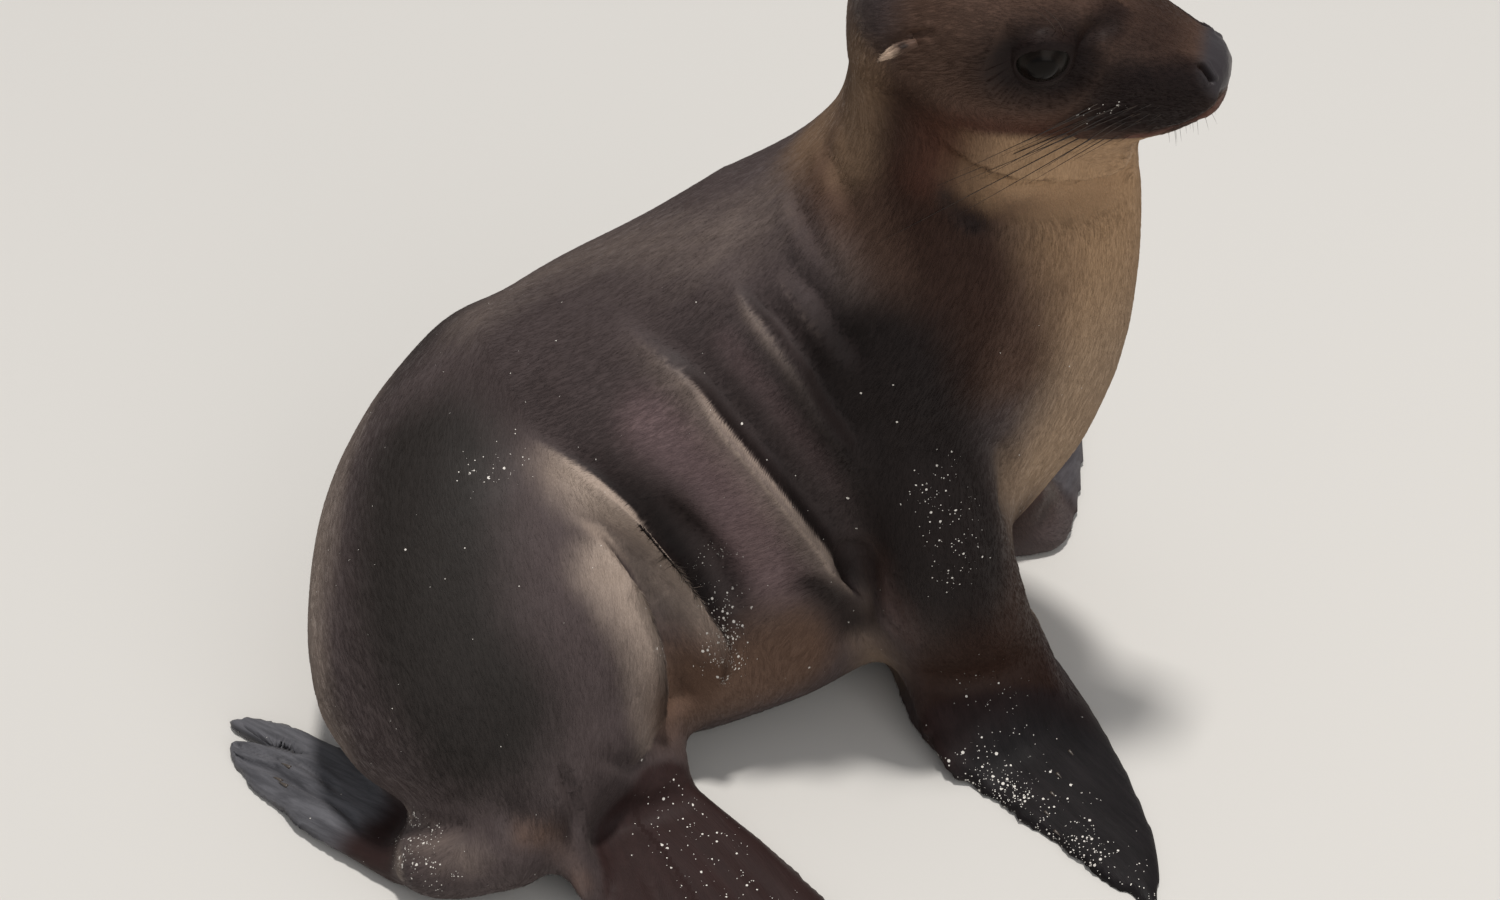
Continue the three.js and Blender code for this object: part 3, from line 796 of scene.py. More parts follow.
NEAR_ARM = [(104, -96, 300), (124, -100, 250), (144, -102, 200), (162, -100, 150), (176, -92, 90),
            (186, -80, 40)]
FAR_ARM = [(106, 120, 300), (126, 128, 250), (146, 134, 200), (166, 140, 150), (176, 146, 90),
           (188, 150, 40)]


def markings(co, no):
    """The shares of each colour at each place of the body, painted highlights and shade among them."""
    def area(share, path, inner, outer):
        return share * reach(co, path, inner, outer)

    def spot(share, path, wide):
        return share * soft(co, path, wide)

    def band(share, path, shape, *fade):
        return share * stroke(co, no, path, shape, fade=fade)

    x, y, z = to_head(co).T
    X, Z = co[:, 0] / MM, co[:, 2] / MM
    near = np.abs(y)
    head = smoothstep(x, -36, 6) * smoothstep(z, -100, -84)
    low = smoothstep(-Z, -220, -110)

    front = area(1, [(262, -24, 425), (262, -10, 380), (268, 0, 330), (262, 6, 280), (236, 8, 220),
                     (206, 10, 160), (150, 10, 90)], 50, 122)
    front *= 1 - smoothstep(z, -68, -52) * head
    forearms = most(area(1, [(192, -72, 158), (188, -70, 120), (186, -68, 78), (196, -86, 36)], 36, 78),
                    area(1, [(196, 112, 158), (192, 116, 120), (190, 124, 78), (200, 150, 36)], 36, 78))
    front *= 1 - forearms * smoothstep(-Z, -215, -115)
    # Painted shade on the throat just under the jaw.
    front *= 1 - spot(0.28, [(214, -57, 394), (222, -54, 370), (220, -58, 345)], 24)

    jaw = smoothstep(-z, 33, 46) * smoothstep(x, 10, 88) * (1 - smoothstep(x, 150, 168)) * head
    cheek = smoothstep(-z, 4, 50) * smoothstep(x, -14, 44) * (1 - smoothstep(x, 88, 124)) * head
    eye = np.minimum(1, 1.25 * np.exp(-(((x - 69) / 41) ** 2 + ((z - 10) / 28) ** 2))) * (near > 20)
    muzzle = np.exp(-(((x - 134) / 46) ** 4 + ((z + 6) / 30) ** 4)) * smoothstep(near, 6, 20)
    top = np.exp(-(((x - 122) / 40) ** 2 + ((z - 22) / 30) ** 2))
    bridge = np.exp(-(((x - 98) / 26) ** 2 + ((z - 31) / 13) ** 2)) * (near > 10)
    nose = smoothstep(x, 146, 160) * smoothstep(z, -8, 0) * smoothstep(x + z, 158, 172)
    lips, edge = [], []
    for side in SIDES:
        lips.append(area(1, on_side(side, [(177, 13, -11), (172, 20, -18), (161, 27, -27), (146, 31, -35),
                                           (131, 36, -37)]), 2.5, 8))
        # Painted shadow under the jaw's line, laid in the neck's colour and kept off the pale.
        edge.append(band(1, on_side(side, JAW_LINE)[::-side], under(1.5, 4), *(0.1, 0.3)[::-side]))
    edge = most(*edge)
    lips = most(*lips, area(1, on_head([[183, 0, -22], [176, 0, -34], [168, 0, -38]]), 4, 11),
                spot(0.35, [(108, -92, 160), (112, -94, 140), (124, -100, 122), (128, -98, 100)], 20))

    shoulders = np.minimum(1, 1.3 * most(spot(1, NEAR_ARM, 52), spot(0.74, FAR_ARM, 64)))
    # Dark coat of the shoulders and forearms, with painted shade in the valleys of the folds, where the
    # second fold meets the arm and in the crease under the jaw.
    dark_and_shade = most(
        shoulders * (1 - smoothstep(X, 176, 216)) * (0.3 + 0.7 * smoothstep(Z, 60, 170)),
        0.2 * forearms * low,
        band(0.97, HIP_FOLD, under(3, 15), 0.4, 0.3), band(0.60, THIGH_EDGE, under(2.5, 6), 0.3, 0.1),
        band(0.90, FOLD_2, under(3, 13), 0.45, 0.15), band(0.70, FOLD_3, under(2.5, 11), 0.3, 0.2),
        band(0.55, FOLD_4, under(2.5, 9), 0.35, 0.3),
        spot(0.8, [(74, -90, 136), (88, -86, 118), (100, -78, 96)], 17),
        spot(0.75, [(146, -64, 404), (156, -68, 396), (164, -70, 390)], 9))
    # Painted highlights: along the crests of the folds, on the rump's rim and the back's top, and lit patches
    # on the back, the near side, the heel and the neck.
    painted_light = most(
        band(0.80, THIGH_EDGE, beside(36, 2), 0.25, 0.02), band(0.90, HIP_FOLD, beside(25, 2.4), 0.3, 0.05),
        band(0.72, FOLD_2[1:], beside(4.5, 2), 0.25, 0.15), band(0.36, FOLD_2, beside(22, 2.5), 0.3, 0.1),
        band(0.38, FOLD_3, beside(6, 2), 0.3, 0.2), band(0.30, FOLD_4, beside(5, 2), 0.3, 0.3),
        0.54 * smoothstep(-no[:, 0], 0.60, 0.95) * smoothstep(-X, 70, 120) * (1 - stored("flippers")),
        0.22 * smoothstep(no[:, 1], 0.3, 0.85) * smoothstep(Z, 180, 240) * (1 - head),
        spot(0.28, [(-134, 46, 248), (-82, 50, 282), (-44, 30, 311), (6, -14, 342), (60, -14, 366)], 40),
        spot(0.14, [(36, -95, 180), (50, -92, 140)], 17),
        spot(0.28, [(-161, -219, 49), (-130, -237, 51)], 18),
        spot(0.26, [(92, -56, 383), (98, -79, 343)], 26))
    neck = 1.15 * most(
        spot(1, [(112, -50, 455), (128, -56, 425), (146, -66, 395), (156, -78, 350), (146, -92, 300)], 33),
        spot(0.85, [(128, 34, 460), (148, 54, 425), (170, 76, 395), (178, 94, 350), (160, 110, 300)], 48))
    # Darker coat over the hips: wet fur, and in part painted shade.
    wet_and_shade = most(spot(1.1, [(-160, -62, 214), (-160, -118, 190), (-152, -162, 158), (-124, -192, 124)], 56),
               spot(0.8, [(-150, 60, 190), (-120, 110, 120)], 60))
    # Lighter purple-brown coat on the near side before the folds, lightened in part as painted highlight.
    lit_flank = most(
        spot(1, [(-22, -80, 252), (8, -92, 234), (28, -98, 206), (40, -95, 165), (58, -92, 128)], 25),
        spot(0.55, [(20, -70, 305), (52, -86, 275), (72, -97, 245), (88, -97, 215)], 13))
    # Tan on the back of the neck, lightened in part as painted highlight where it faces up.
    nape = most(spot(1, [(93, -52, 484), (92, -32, 444), (90, -37, 414)], 22),
                spot(0.8, [(84, -6, 485), (78, 6, 445), (72, 4, 405)], 32))
    warm = most(spot(1, [(-14, -106, 76), (24, -104, 80), (60, -92, 84)], 40),
                spot(1, [(-20, 130, 60), (60, 130, 70), (104, 100, 70)], 37),
                spot(0.5, [(-96, -226, 62), (-80, -224, 56), (-64, -236, 34)], 14))
    return {
        "painted_light": painted_light * (1 - 0.8 * warm), "wet_and_shade": wet_and_shade * (1 - painted_light), "lit_flank": lit_flank * (1 - warm),
        "brown": most(head, area(1, [(110, -30, 440), (150, -40, 400), (178, -60, 340)], 40, 104)),
        # The neck's colour also carries the painted shadow under the jaw.
        "neck": most(neck * (1 - front), 0.6 * edge, 0.85 * forearms * low), "warm": warm * (1 - front),
        "cheek": cheek * (1 - jaw), "pale": most(front, 0.84 * jaw) * (1 - 0.6 * edge),
        "throat": smoothstep(Z, 250, 380), "dark_and_shade": dark_and_shade, "nose": nose, "lips": lips,
        "nape": nape * (1 - front), "muzzle": most(eye, 0.95 * muzzle, 0.8 * bridge, 0.62 * top)}


def grit_of(co):
    """Where sand clings."""
    grit = [0.004 * (co[:, 2] < 320 * MM)]
    for path, share, inner, outer in (
        ([(14, -98, 156), (22, -104, 128), (23, -116, 96)], 1, 9, 21),
        ([(-14, -120, 130), (-7, -126, 104), (-5, -128, 66)], 0.9, 4, 11),
        (RIGHT_FORE[3:], 0.10, 6, 40), ([(176, -122, 6), (212, -158, 6), (240, -186, 6)], 0.9, 5, 26),
        (TRAILING_EDGE[3:], 0.4, 4, 20), (LEFT_FORE[4:], 0.12, 6, 34), (RIGHT_HIND[3:], 0.16, 8, 40),
        ([(-176, -210, 40), (-152, -232, 46)], 0.7, 6, 26),
        ([(148, -98, 222), (164, -102, 168)], 0.26, 6, 28),
        ([(-122, -70, 215), (-104, -62, 221)], 0.2, 5, 24),
        (on_head([[116, -42, -12], [104, -45, -18]]), 0.3, 3, 10),
    ):
        grit.append(share * reach(co, path, inner, outer))
    return np.max(grit, axis=0)


co = coordinates(me)
paint = markings(co, normals(me))
paint["bare"] = bare = smoothstep(relaxed(stored("flippers"), edges, 0.5, 24), 0.2, 0.8)
paint["grit"] = grit_of(co)
paint["tips"] = most(reach(co, [(-236, -136, 10), (-300, -100, 8)], 34, 74),
                     0.5 * soft(co, [(262, 168, 14), (278, 214, 5)], 30),
                     0.05 * soft(co, [(262, -212, 6), (276, -230, 5)], 24))
paint["ink"] = most(reach(co, RIGHT_FORE[6:], 52, 128), 0.2 * reach(co, LEFT_FORE[4:], 50, 84))
paint["ear"] = stored("leaf")
# Painted shade in the slits round the ears' roots.
slits = most(*[reach(co, on_side(side, EAR_SLIT[:3]), 2.4, 6) for side in SIDES])
paint["dark_and_shade"] = np.maximum(paint["dark_and_shade"], slits * (1 - paint["ear"]))
for side in SIDES:
    r, e = opening(to_head(co), side)[:2]
    paint["muzzle"] = np.maximum(paint["muzzle"], (r < 26) * (1 - smoothstep(e, 1.2, 1.7)))
heading, flow = lie_of(co)
for name, values in (*paint.items(), ("flow", flow)):
    store(me, name, values)


me.uv_layers.new(name="OFBake")
bpy.ops.object.select_all(action="DESELECT")
skin.select_set(True)
bpy.context.view_layer.objects.active = skin
bpy.ops.object.mode_set(mode="EDIT")
bpy.ops.mesh.select_all(action="SELECT")
bpy.ops.uv.smart_project(angle_limit=math.radians(66), island_margin=0.002)
bpy.ops.object.mode_set(mode="OBJECT")
me = skin.data

# ---- materials


class Nodes:
    """A short way to write a material's node graph. A number or a colour is set on the socket itself."""

    def __init__(self, name):
        self.material = bpy.data.materials.new(name)
        self.material.use_nodes = True
        self.tree = self.material.node_tree
        self.shader = self.tree.nodes["Principled BSDF"]

    def set(self, socket, value):
        if isinstance(value, bpy.types.NodeSocket):
            self.tree.links.new(value, socket)
        else:
            socket.default_value = (*value, 1) if socket.type == "RGBA" else value

    def add(self, kind, links=(), **settings):
        n = self.tree.nodes.new(kind)
        for k, v in settings.items():
            setattr(n, k, v)
        for k, v in dict(links).items():
            self.set(n.inputs[k], v)
        return n

    def attribute(self, name, output="Fac"):
        return self.add("ShaderNodeAttribute", attribute_name=name).outputs[output]

    def place(self):
        return self.add("ShaderNodeTexCoord").outputs["Object"]

    def noise(self, vector, scale, detail=3, rough=0.55):
        links = {"Vector": vector, "Scale": scale, "Detail": detail, "Roughness": rough}
        return self.add("ShaderNodeTexNoise", links).outputs["Fac"]

    def math(self, kind, a, b):
        return self.add("ShaderNodeMath", {0: a, 1: b}, operation=kind).outputs[0]

    def plus(self, a, b):
        return self.math("ADD", a, b)

    def minus(self, a, b):
        return self.math("SUBTRACT", a, b)

    def times(self, a, b):
        return self.math("MULTIPLY", a, b)

    def ramp(self, value, low, high):
        links = {"Value": value, "From Min": low, "From Max": high}
        return self.add("ShaderNodeMapRange", links, interpolation_type="SMOOTHSTEP").outputs["Result"]

    def mix(self, share, a, b, blend="MIX"):
        links = {"Factor": share, 6: a, 7: b}
        return self.add("ShaderNodeMix", data_type="RGBA", blend_type=blend, links=links).outputs[2]

    def tinted(self, colour, tint):
        return self.mix(1.0, colour, tint, "MULTIPLY")

    def out(self, **values):
        for k, v in values.items():
            self.set(self.shader.inputs[k.replace("_", " ")], v)
        return self.material


# Among these tones the pale highlight is painted, the flank's lighter tone is in part painted highlight, and
# the hips' darker one is wet fur and in part painted shade.
TONES = {  # painted over the back's colour in this order
    "wet_and_shade": (0.022, 0.018, 0.016), "lit_flank": (0.180, 0.124, 0.126), "painted_light": (0.39, 0.308, 0.255),
    "brown": (0.088, 0.050, 0.035), "neck": (0.036, 0.0160, 0.0100), "nape": (0.190, 0.120, 0.075),
    "warm": (0.130, 0.076, 0.052), "cheek": (0.067, 0.0245, 0.0140)}
# Colours between which the fine noise mixes, and single ones.
BACK_A, BACK_B = (0.064, 0.048, 0.047), (0.080, 0.060, 0.059)
PALE_A, PALE_B = (0.350, 0.247, 0.166), (0.325, 0.226, 0.150)
THROAT_A, THROAT_B = (0.404, 0.260, 0.150), (0.376, 0.237, 0.135)
# DARK_A and DARK_B also colour the painted shade in the creases and in the ears' slits.
DARK_A, DARK_B = (0.009, 0.0055, 0.0055), (0.016, 0.0105, 0.0095)
MUZZLE_A, MUZZLE_B = (0.006, 0.0022, 0.0018), (0.012, 0.0050, 0.0040)
# The nose's grey is set lighter, in part as a painted highlight.
LIPS, EAR, NOSE = (0.100, 0.043, 0.030), (0.50, 0.37, 0.28), (0.038, 0.033, 0.036)
BARE, INK_A, INK_B = (0.024, 0.0120, 0.0110), (0.005, 0.0038, 0.0042), (0.012, 0.0094, 0.0102)
SLATE_A, SLATE_B = (0.070, 0.069, 0.076), (0.140, 0.138, 0.150)
SAND = (0.76, 0.72, 0.66)
PUPIL, IRIS_A, IRIS_B = (0.0025, 0.0022, 0.0022), (0.004, 0.0028, 0.0022), (0.009, 0.0060, 0.0045)
IRIS_RIM, EYE_WHITE = (0.006, 0.005, 0.004), (0.020, 0.015, 0.013)
WHISKER_A, WHISKER_B = (0.012, 0.006, 0.004), (0.045, 0.026, 0.016)
HORN_A, HORN_B = (0.035, 0.028, 0.024), (0.12, 0.095, 0.075)


def specks(g, place, scale, wanted, often):
    """Grains of sand, of mixed sizes, where they are wanted."""
    grains = g.add("ShaderNodeTexVoronoi", {"Vector": place, "Scale": scale, "Randomness": 1.0}).outputs
    parts = g.add("ShaderNodeSeparateColor", {0: grains["Color"]}).outputs
    size = g.plus(0.10, g.times(parts[1], 0.26))
    chosen = g.math("LESS_THAN", parts[0], g.times(wanted, often))
    return g.times(g.math("LESS_THAN", grains["Distance"], size), chosen)


def coat_material(name, bumps):
    """The coat's colours, from the paint stored on the mesh, with the strength of its fine relief."""
    g = Nodes(name)
    place, flow = g.place(), g.attribute("flow", "Vector")
    along = g.add("ShaderNodeVectorMath", {0: flow, 1: (0.12, 1.0, 1.0)}, operation="MULTIPLY").outputs[0]
    clouds, mottle, pores = g.noise(place, 9), g.noise(place, 45, 4), g.noise(place, 1500, 2)
    streak, broad = g.noise(along, 1300, 2, 0.6), g.noise(along, 130, 3, 0.6)
    wrinkle = g.noise(along, 210, 5, 0.65)
    edge = g.times(g.minus(broad, 0.5), 0.22)
    worn = g.ramp(wrinkle, 0.3, 0.75)
    nose = g.attribute("nose")

    def share(name, low=0.05):
        return g.ramp(g.plus(g.attribute(name), edge), low, 0.95)

    colour = g.mix(g.ramp(clouds, 0.3, 0.7), BACK_A, BACK_B)
    for name, tone in TONES.items():
        colour = g.mix(share(name), colour, tone)
    pale = g.mix(g.attribute("throat"), g.mix(mottle, PALE_B, PALE_A), g.mix(mottle, THROAT_B, THROAT_A))
    for name, tone in (("pale", pale), ("dark_and_shade", g.mix(mottle, DARK_A, DARK_B)),
                       ("muzzle", g.mix(mottle, MUZZLE_A, MUZZLE_B)), ("lips", LIPS)):
        colour = g.mix(share(name), colour, tone)
    colour = g.mix(g.attribute("ear"), colour, EAR)
    colour = g.mix(g.ramp(mottle, 0.3, 0.75), colour, g.tinted(colour, (0.93, 0.92, 0.91)))
    colour = g.mix(g.ramp(streak, 0.3, 0.7), g.tinted(colour, (0.88, 0.875, 0.87)),
                   g.tinted(colour, (1.12, 1.12, 1.11)))

    bare = share("bare", 0.1)
    leather = g.mix(worn, BARE, g.tinted(BARE, (1.3, 1.3, 1.3)))
    leather = g.mix(share("ink"), leather, g.mix(worn, INK_A, INK_B))
    leather = g.mix(share("tips"), leather, g.mix(worn, SLATE_A, SLATE_B))
    colour = g.mix(nose, g.mix(bare, colour, leather), NOSE)
    wanted = g.times(g.attribute("grit"), g.ramp(g.noise(place, 60), 0.36, 0.56))
    speck = g.math("MAXIMUM", specks(g, place, 330, wanted, 0.85), specks(g, place, 800, wanted, 0.60))
    colour = g.mix(speck, colour, SAND)

    gloss = g.plus(0.58, g.times(g.minus(mottle, 0.5), 0.2))
    gloss = g.plus(g.minus(gloss, g.times(nose, 0.22)), g.times(g.attribute("pale"), 0.15))
    height = g.plus(g.times(streak, g.minus(1.0, nose)), g.times(g.times(wrinkle, bare), 1.6))
    height = g.plus(g.plus(height, g.times(g.times(pores, nose), 0.8)), g.times(speck, 2.0))
    relief = g.add("ShaderNodeBump", {"Height": height, "Strength": bumps, "Distance": 0.0004}).outputs
    return g.out(Base_Color=colour, Roughness=gloss, Normal=relief["Normal"], Specular_IOR_Level=0.16,
                 Sheen_Weight=0.04, Sheen_Roughness=0.40, Sheen_Tint=(1.0, 0.86, 0.74))


me.materials.clear()
me.materials.append(coat_material("skin_coat", 0.5))
hair_material = coat_material("hair_coat", 0.25)

# ---- the coat

TUFT_SAG = 1 * MM  # how far a straight tuft may stand off a bulging skin
BLADE_UV = 0.0015  # half size of a blade on the bake map
BODY_TUFTS, HEAD_TUFTS, FRINGE_TUFTS = 46000, 40000, 3200
BODY_WIDTH, HEAD_WIDTH, FRINGE_WIDTH = 0.42, 0.30, 0.34  # of a tuft, in millimetres
FRINGE_LENGTH = 8.5


def scatter(me, count, keep):
    """Places over the skin, evenly, where keep says: their triangles, its loops and corner weights."""
    me.calc_loop_triangles()
    tri = read(me.loop_triangles, "vertices", 3, int)
    loops = read(me.loop_triangles, "loops", 3, int)
    pick, bary = spread(count, triangle_areas(coordinates(me), tri) * keep[tri].mean(1))
    return tri[pick], loops[pick], bary


def bending(co, edges):
    """How sharply the skin bulges at each place, in 1/m."""
    n = len(co)
    a, b = edges.T
    span = ((co[a] - co[b]) ** 2).sum(1)
    span = np.bincount(a, span, n) + np.bincount(b, span, n)
    span /= np.maximum(np.bincount(edges.ravel(), minlength=n), 1)
    sag = -((relaxed(co, edges, 1.0, 1) - co) * normals(me)).sum(1)
    return np.maximum(relaxed(2 * sag / np.maximum(span, 1e-9), edges, 0.5, 4), 0)


def tufts(name, keep, count, length, width, lift=0.05, wild=0.14):
    """Short flat tufts that lie along the coat, as one solid mesh of thin blades with four points each."""
    tri, loops, bary = scatter(me, count, keep)
    root = blend_at(coordinates(me), tri, bary)
    up = unit(blend_at(skin_normals, tri, bary))
    way = blend_at(heading, tri, bary)
    way = unit(way - up * (way * up).sum(1)[:, None])
    way = unit(way + np.cross(up, way) * rng.normal(0, wild, count)[:, None])
    side = np.cross(up, way)
    long = (blend_at(length, tri, bary) * rng.uniform(0.7, 1.15, count) * MM)[:, None]
    wide = (width * rng.uniform(0.7, 1.2, count) * MM)[:, None]
    base = root - up * 0.2 * MM
    tip = root + way * long + up * (0.15 * MM + long * rng.uniform(0.3, 1.0, count)[:, None] * lift)
    crest = base + up * (0.2 * MM + wide * 0.3)
    v = np.stack([base - side * wide / 2, base + side * wide / 2, crest, tip], 1).reshape(-1, 3)
    v[:, 2] = np.maximum(v[:, 2], 0.1 * MM)
    corner = np.arange(count)[:, None] * 4 + [2, 0, 3, 1, 2, 3, 0, 1, 3, 0, 2, 1]
    t = piece(name, v, corner.reshape(-1, 3), hair_material).data
    for key, values in (*paint.items(), ("flow", flow)):
        store(t, key, np.repeat(blend_at(values, tri, bary), 4, axis=0))
    at = blend_at(read(me.uv_layers["OFBake"].data, "uv", 2), loops, bary)
    spot = np.array([(-1, -1), (1, -1), (0, -0.2), (0, 1)]) * BLADE_UV
    write(t.uv_layers.new(name="OFBake").data, "uv", (at[:, None] + spot).reshape(-1, 2)[corner.ravel()])
    sleek = unit(np.repeat(up, 4, axis=0) * 5 + np.stack([-side, side, up, up], 1).reshape(-1, 3) * 0.8)
    t.normals_split_custom_set_from_vertices(sleek.astype(np.float32))


hd = to_head(co)
skin_normals = normals(me)
edges = edges_of(me)
on_the_face = smoothstep(hd[:, 0], 0, 70) * (stored("face") > 0.3)
creases = most(*[reach(co, path, 7, 18) for path in (HIP_FOLD, FOLD_2, FOLD_3, FOLD_4)])
length = 7.0 - 4.2 * on_the_face - 2.6 * stored("limbs") - 3.2 * creases
length = np.maximum(length * (1 - 0.5 * paint["ear"]), 2.4)
length = np.minimum(length, np.sqrt(2 * TUFT_SAG / np.maximum(bending(co, edges), 1)) / MM)
haired = (1 - bare) * (1 - paint["nose"]) * (1 - 0.8 * paint["lips"]) * (co[:, 2] > 3 * MM)
for side in SIDES:
    r, e = opening(hd, side)[:2]
    haired *= np.where(r < 40, smoothstep(e, 1.12, 1.3), 1)
head_part = smoothstep(hd[:, 0], -40, -30) * smoothstep(stored("face"), 0.2, 0.5)
fore, high, rear = co[:, 0] > 30 * MM, co[:, 2] > 230 * MM, co[:, 1] < -30 * MM
body = haired * (1 - head_part)
fringe = most(reach(co, THIGH_EDGE[2:], 3, 7), 0.5 * reach(co, HIP_FOLD[4:], 3, 6),
              0.5 * reach(co, [(-104, -214, 80), (-86, -218, 72), (-72, -214, 60)], 4, 12))
tufts("coat_head", haired * head_part, HEAD_TUFTS, length, HEAD_WIDTH)
for name, part in (("coat_neck_and_chest", fore * high), ("coat_shoulders", fore * ~high),
                   ("coat_flanks", ~fore * ~rear), ("coat_hips", ~fore * rear)):
    tufts(name, body * part, BODY_TUFTS, length, BODY_WIDTH)
long = np.full(len(co), FRINGE_LENGTH)
tufts("coat_fringe", haired * fringe, FRINGE_TUFTS, long, FRINGE_WIDTH, lift=0.22, wild=0.3)

# ---- eyes


def eye(side):
    """The eyeball, with its cornea bulging a little."""
    centre, axis = EYE_AT * [1, side, 1], EYE_AXIS * [1, side, 1]
    across = unit(np.cross(axis, [0, 0, 1]))
    out, faces = ball(48, 44)
    tilt = np.arccos(out[:, 2])
    r = EYE_RADIUS - 0.4 + 1.1 * (1 - smoothstep(np.degrees(tilt), 18, 36))
    co = from_head(centre + out @ [across, np.cross(axis, across), axis] * r[:, None])
    o = piece("eyeball_" + ("left" if side > 0 else "right"), co, faces, eye_material)
    store(o.data, "tilt", tilt)
    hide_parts("eye_left" if side > 0 else "eye_right")


def make_eye_material():
    g = Nodes("eye_wet")
    tilt = g.attribute("tilt")
    iris = g.mix(g.noise(g.place(), 900), IRIS_A, IRIS_B)
    colour = g.mix(g.ramp(tilt, 0.38, 0.56), PUPIL, iris)
    colour = g.mix(g.ramp(tilt, 0.66, 0.74), colour, IRIS_RIM)
    colour = g.mix(g.ramp(tilt, 0.9, 1.1), colour, EYE_WHITE)
    return g.out(Base_Color=colour, Roughness=0.26, Specular_IOR_Level=0.12, Specular_Tint=(1.0, 0.88, 0.80))


eye_material = make_eye_material()
for side in SIDES:
    eye(side)

# ---- whiskers and claws


def thin_tubes(name, lines, radii, material, sides=6):
    """Tapered round hairs along the given lines, as one closed mesh."""
    verts, faces = [], []
    b = 2 * math.pi * np.arange(sides)[:, None] / sides
    for line, radius in zip(lines, radii):
        steps, across = transported(line)
        start = len(verts)
        for i, p in enumerate(line):
            k = min(i, len(steps) - 1)
            r = radius * (1 - i / (len(line) - 1)) ** 0.8 + 0.03 * MM
            verts.extend(p + (across[k] * np.cos(b) + np.cross(steps[k], across[k]) * np.sin(b)) * r)
        faces += tube(start, len(line), sides)
        faces += [range(start + sides - 1, start - 1, -1), range(len(verts) - sides, len(verts))]
    piece(name, verts, faces, material)


def whisker_material():
    g = Nodes("whisker")
    share = g.ramp(g.noise(g.place(), 130, 2), 0.35, 0.65)
    return g.out(Base_Color=g.mix(share, WHISKER_A, WHISKER_B), Roughness=0.45)


surface = tree_of(co)


def on_skin(point):
    i = surface.find(point)[1]
    return co[i], skin_normals[i]


def hair_line(root, way, bend, long, points=12):
    """A curve that sets off one way and bends towards another."""
    t = np.linspace(0, 1, points)[:, None]
    return root + way * (long * t) + bend * (long * t ** 2)


def whiskers():
    """The whiskers, the hairs over the eye and the short ones on the chin."""
    lines, radii = [], []

    def hair(spot, depth, way, bend, long, radius, points=12):
        """Roots a hair at a place of the head; way says how it sets off, given the skin's normal."""
        root, no = on_skin(on_head([spot])[0] * MM)
        lines.append(hair_line(root - no * depth * MM, way(no), bend, long * MM, points))
        radii.append(radius * MM)

    for side in SIDES:
        for row in range(5):
            for k in range(6):
                back = k / 5
                spot = (146 - 7.4 * k - 2 * (row % 2) + rng.uniform(-1, 1), 44 * side,
                        -4 - 5.6 * row - 0.8 * k + rng.uniform(-0.8, 0.8))
                long = (9 + 112 * back ** 1.4 * (0.4 + 0.6 * row / 4)) * rng.uniform(0.8, 1.15)
                way = np.array([-0.76, (0.48 - 0.14 * back) * side, -0.46 - 0.18 * row / 4])
                way = HEAD_TURN @ unit(way + rng.normal(0, 0.05, 3))
                bend = HEAD_TURN @ [-0.05, -0.05 * side, -0.12] * rng.uniform(0.5, 1.4)
                hair(spot, 1, lambda no: way, bend, long, 0.20 + 0.20 * back)
        for x, long in ((72, 26), (79, 32)):
            hair((x, 42 * side, 34), 1, lambda no: unit(no + HEAD_TURN @ [-0.7, 0.2 * side, 0.2]),
                 HEAD_TURN @ [-0.4, 0, -0.1], long, 0.2)
        for k in range(12):
            spot = (rng.uniform(150, 172), rng.uniform(4, 24) * side, rng.uniform(-44, -18))
            hair(spot, 0.5, lambda no: unit(no + HEAD_TURN @ [0.1, 0, -0.6]), np.array([0, 0, -0.3]),
                 rng.uniform(6, 11), 0.13, 6)
    thin_tubes("whiskers", lines, radii, whisker_material())


def claw_material():
    g = Nodes("horn")
    return g.out(Base_Color=g.mix(g.noise(g.place(), 400), HORN_A, HORN_B), Roughness=0.32)


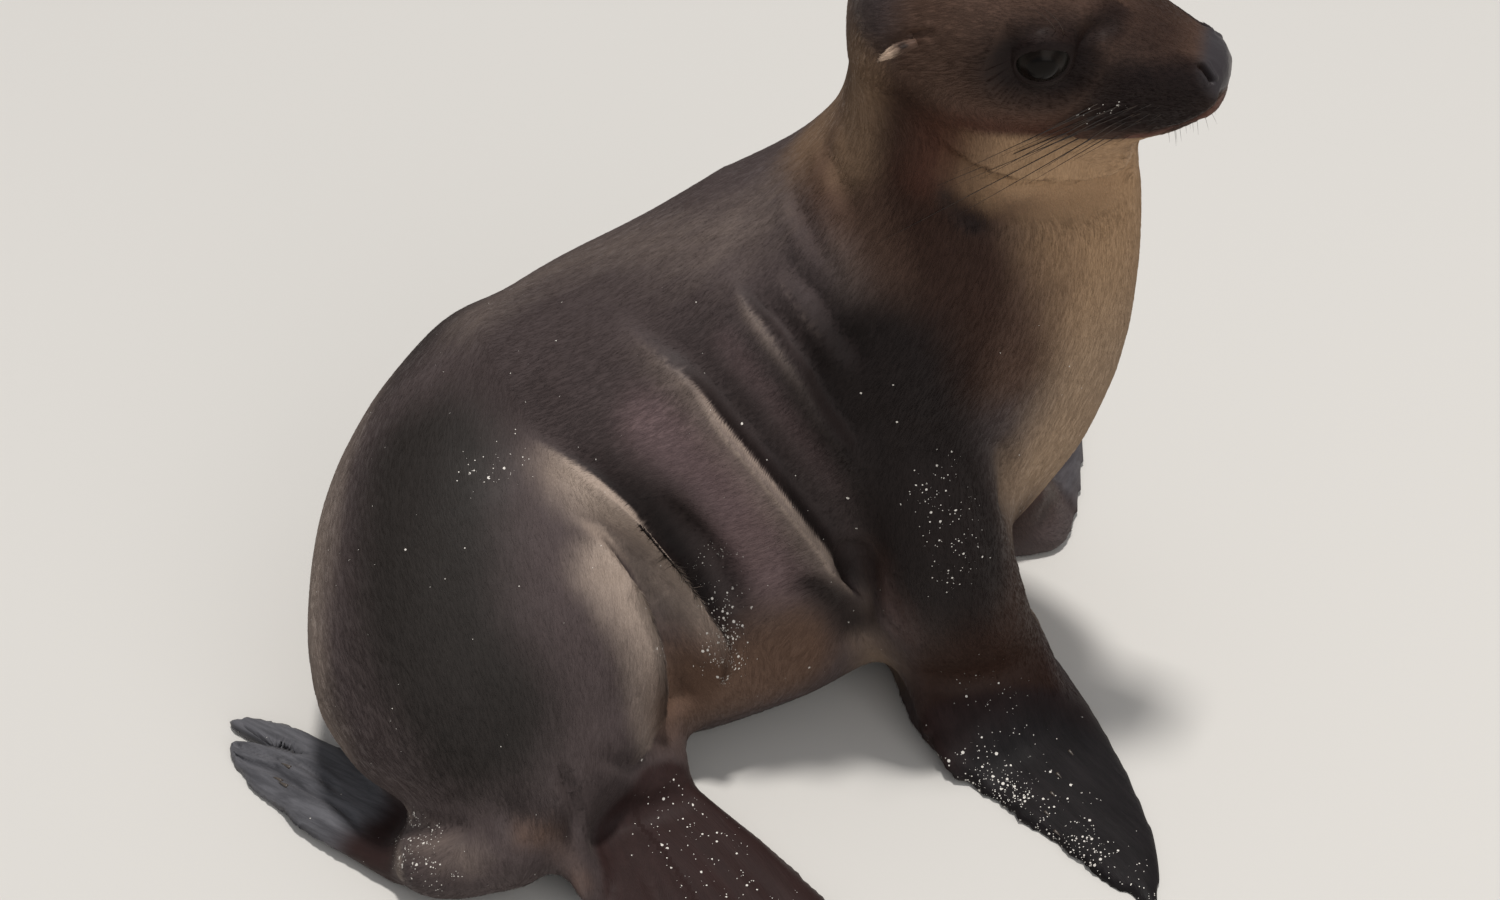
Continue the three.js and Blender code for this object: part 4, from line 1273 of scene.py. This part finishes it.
def claws():
    """Nails on the three middle toes of each hind foot, and the small ones of the fore flippers."""
    lines, radii = [], []
    left = [((-157, -192), (-294, -96)), ((-159, -200), (-295, -104)), ((-163, -206), (-295, -112))]
    for pairs, share in ((RIGHT_TOES[1:4], 0.74), (left, 0.72)):
        for a, b in pairs:
            a, b = np.array([(*a, 24), (*b, 24)], float)
            way = unit(b - a)
            root, no = on_skin(mm(a + (b - a) * share))
            lines.append(hair_line(root - no * 0.5 * MM, way + no * 0.16, -no * 0.2, 8 * MM, 8))
            radii.append(1.3 * MM)
    for line in (RIGHT_FORE, LEFT_FORE):
        smooth_line = curve(mm(line), 6)
        for k in range(5):
            j = len(smooth_line) - 17 + k
            way = unit(smooth_line[j + 1] - smooth_line[j])
            root, no = on_skin(smooth_line[j] + np.cross(way, [0, 0, 1]) * (k - 2) * 16 * MM + mm([0, 0, 20]))
            lines.append(hair_line(root + no * 0.1 * MM, way + no * 0.1, -no * 0.25, 5 * MM, 6))
            radii.append(1.1 * MM)
    thin_tubes("claws", lines, radii, claw_material(), 8)


whiskers()
claws()

# ---- stage, light and camera

FLOOR_HALF = 9000
LENS, SENSOR, SIGHT = 69.12, 36, 50  # the camera's lens and sensor in mm, and how far it sees in metres
CAMERA_AT, CAMERA_DOWN = (0.0354, -1.4280, 1.28819), 38  # metres, and degrees below the horizon

corners = [(x * FLOOR_HALF, y * FLOOR_HALF, 0) for x, y in ((-1, -1), (1, -1), (1, 1), (-1, 1))]
floor = mesh_object("floor", mm(corners), [(0, 1, 2, 3)])
floor.data.materials.append(Nodes("floor").out(Base_Color=(0.66, 0.64, 0.605), Roughness=0.9))
floor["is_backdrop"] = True


def area_light(name, at, look_at, size, power, colour):
    data = bpy.data.lights.new(name, "AREA")
    data.size, data.energy, data.color = size, power, colour
    o = in_scene(bpy.data.objects.new(name, data))
    o.location = at
    o.rotation_euler = (Vector(look_at) - Vector(at)).to_track_quat("-Z", "Y").to_euler()


area_light("key", (0.15, 0.30, 8.0), (0, 0, 0.15), size=0.8, power=460, colour=(1, 0.975, 0.945))
area_light("fill", (1.3, -2.5, 1.8), (0, 0, 0.2), size=2.4, power=26, colour=(1, 0.99, 0.98))
world = bpy.data.worlds.new("studio")
world.use_nodes = True
sky = world.node_tree.nodes["Background"].inputs
sky["Color"].default_value = (0.94, 0.96, 1.0, 1)
sky["Strength"].default_value = 0.34
bpy.context.scene.world = world

data = bpy.data.cameras.new("camera")
data.lens, data.sensor_width, data.clip_end = LENS, SENSOR, SIGHT
camera = in_scene(bpy.data.objects.new("camera", data))
camera.location = CAMERA_AT
camera.rotation_euler = (math.radians(90 - CAMERA_DOWN), 0, 0)
bpy.context.scene.camera = camera
bpy.context.scene.view_settings.view_transform = "Standard"

low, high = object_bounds()
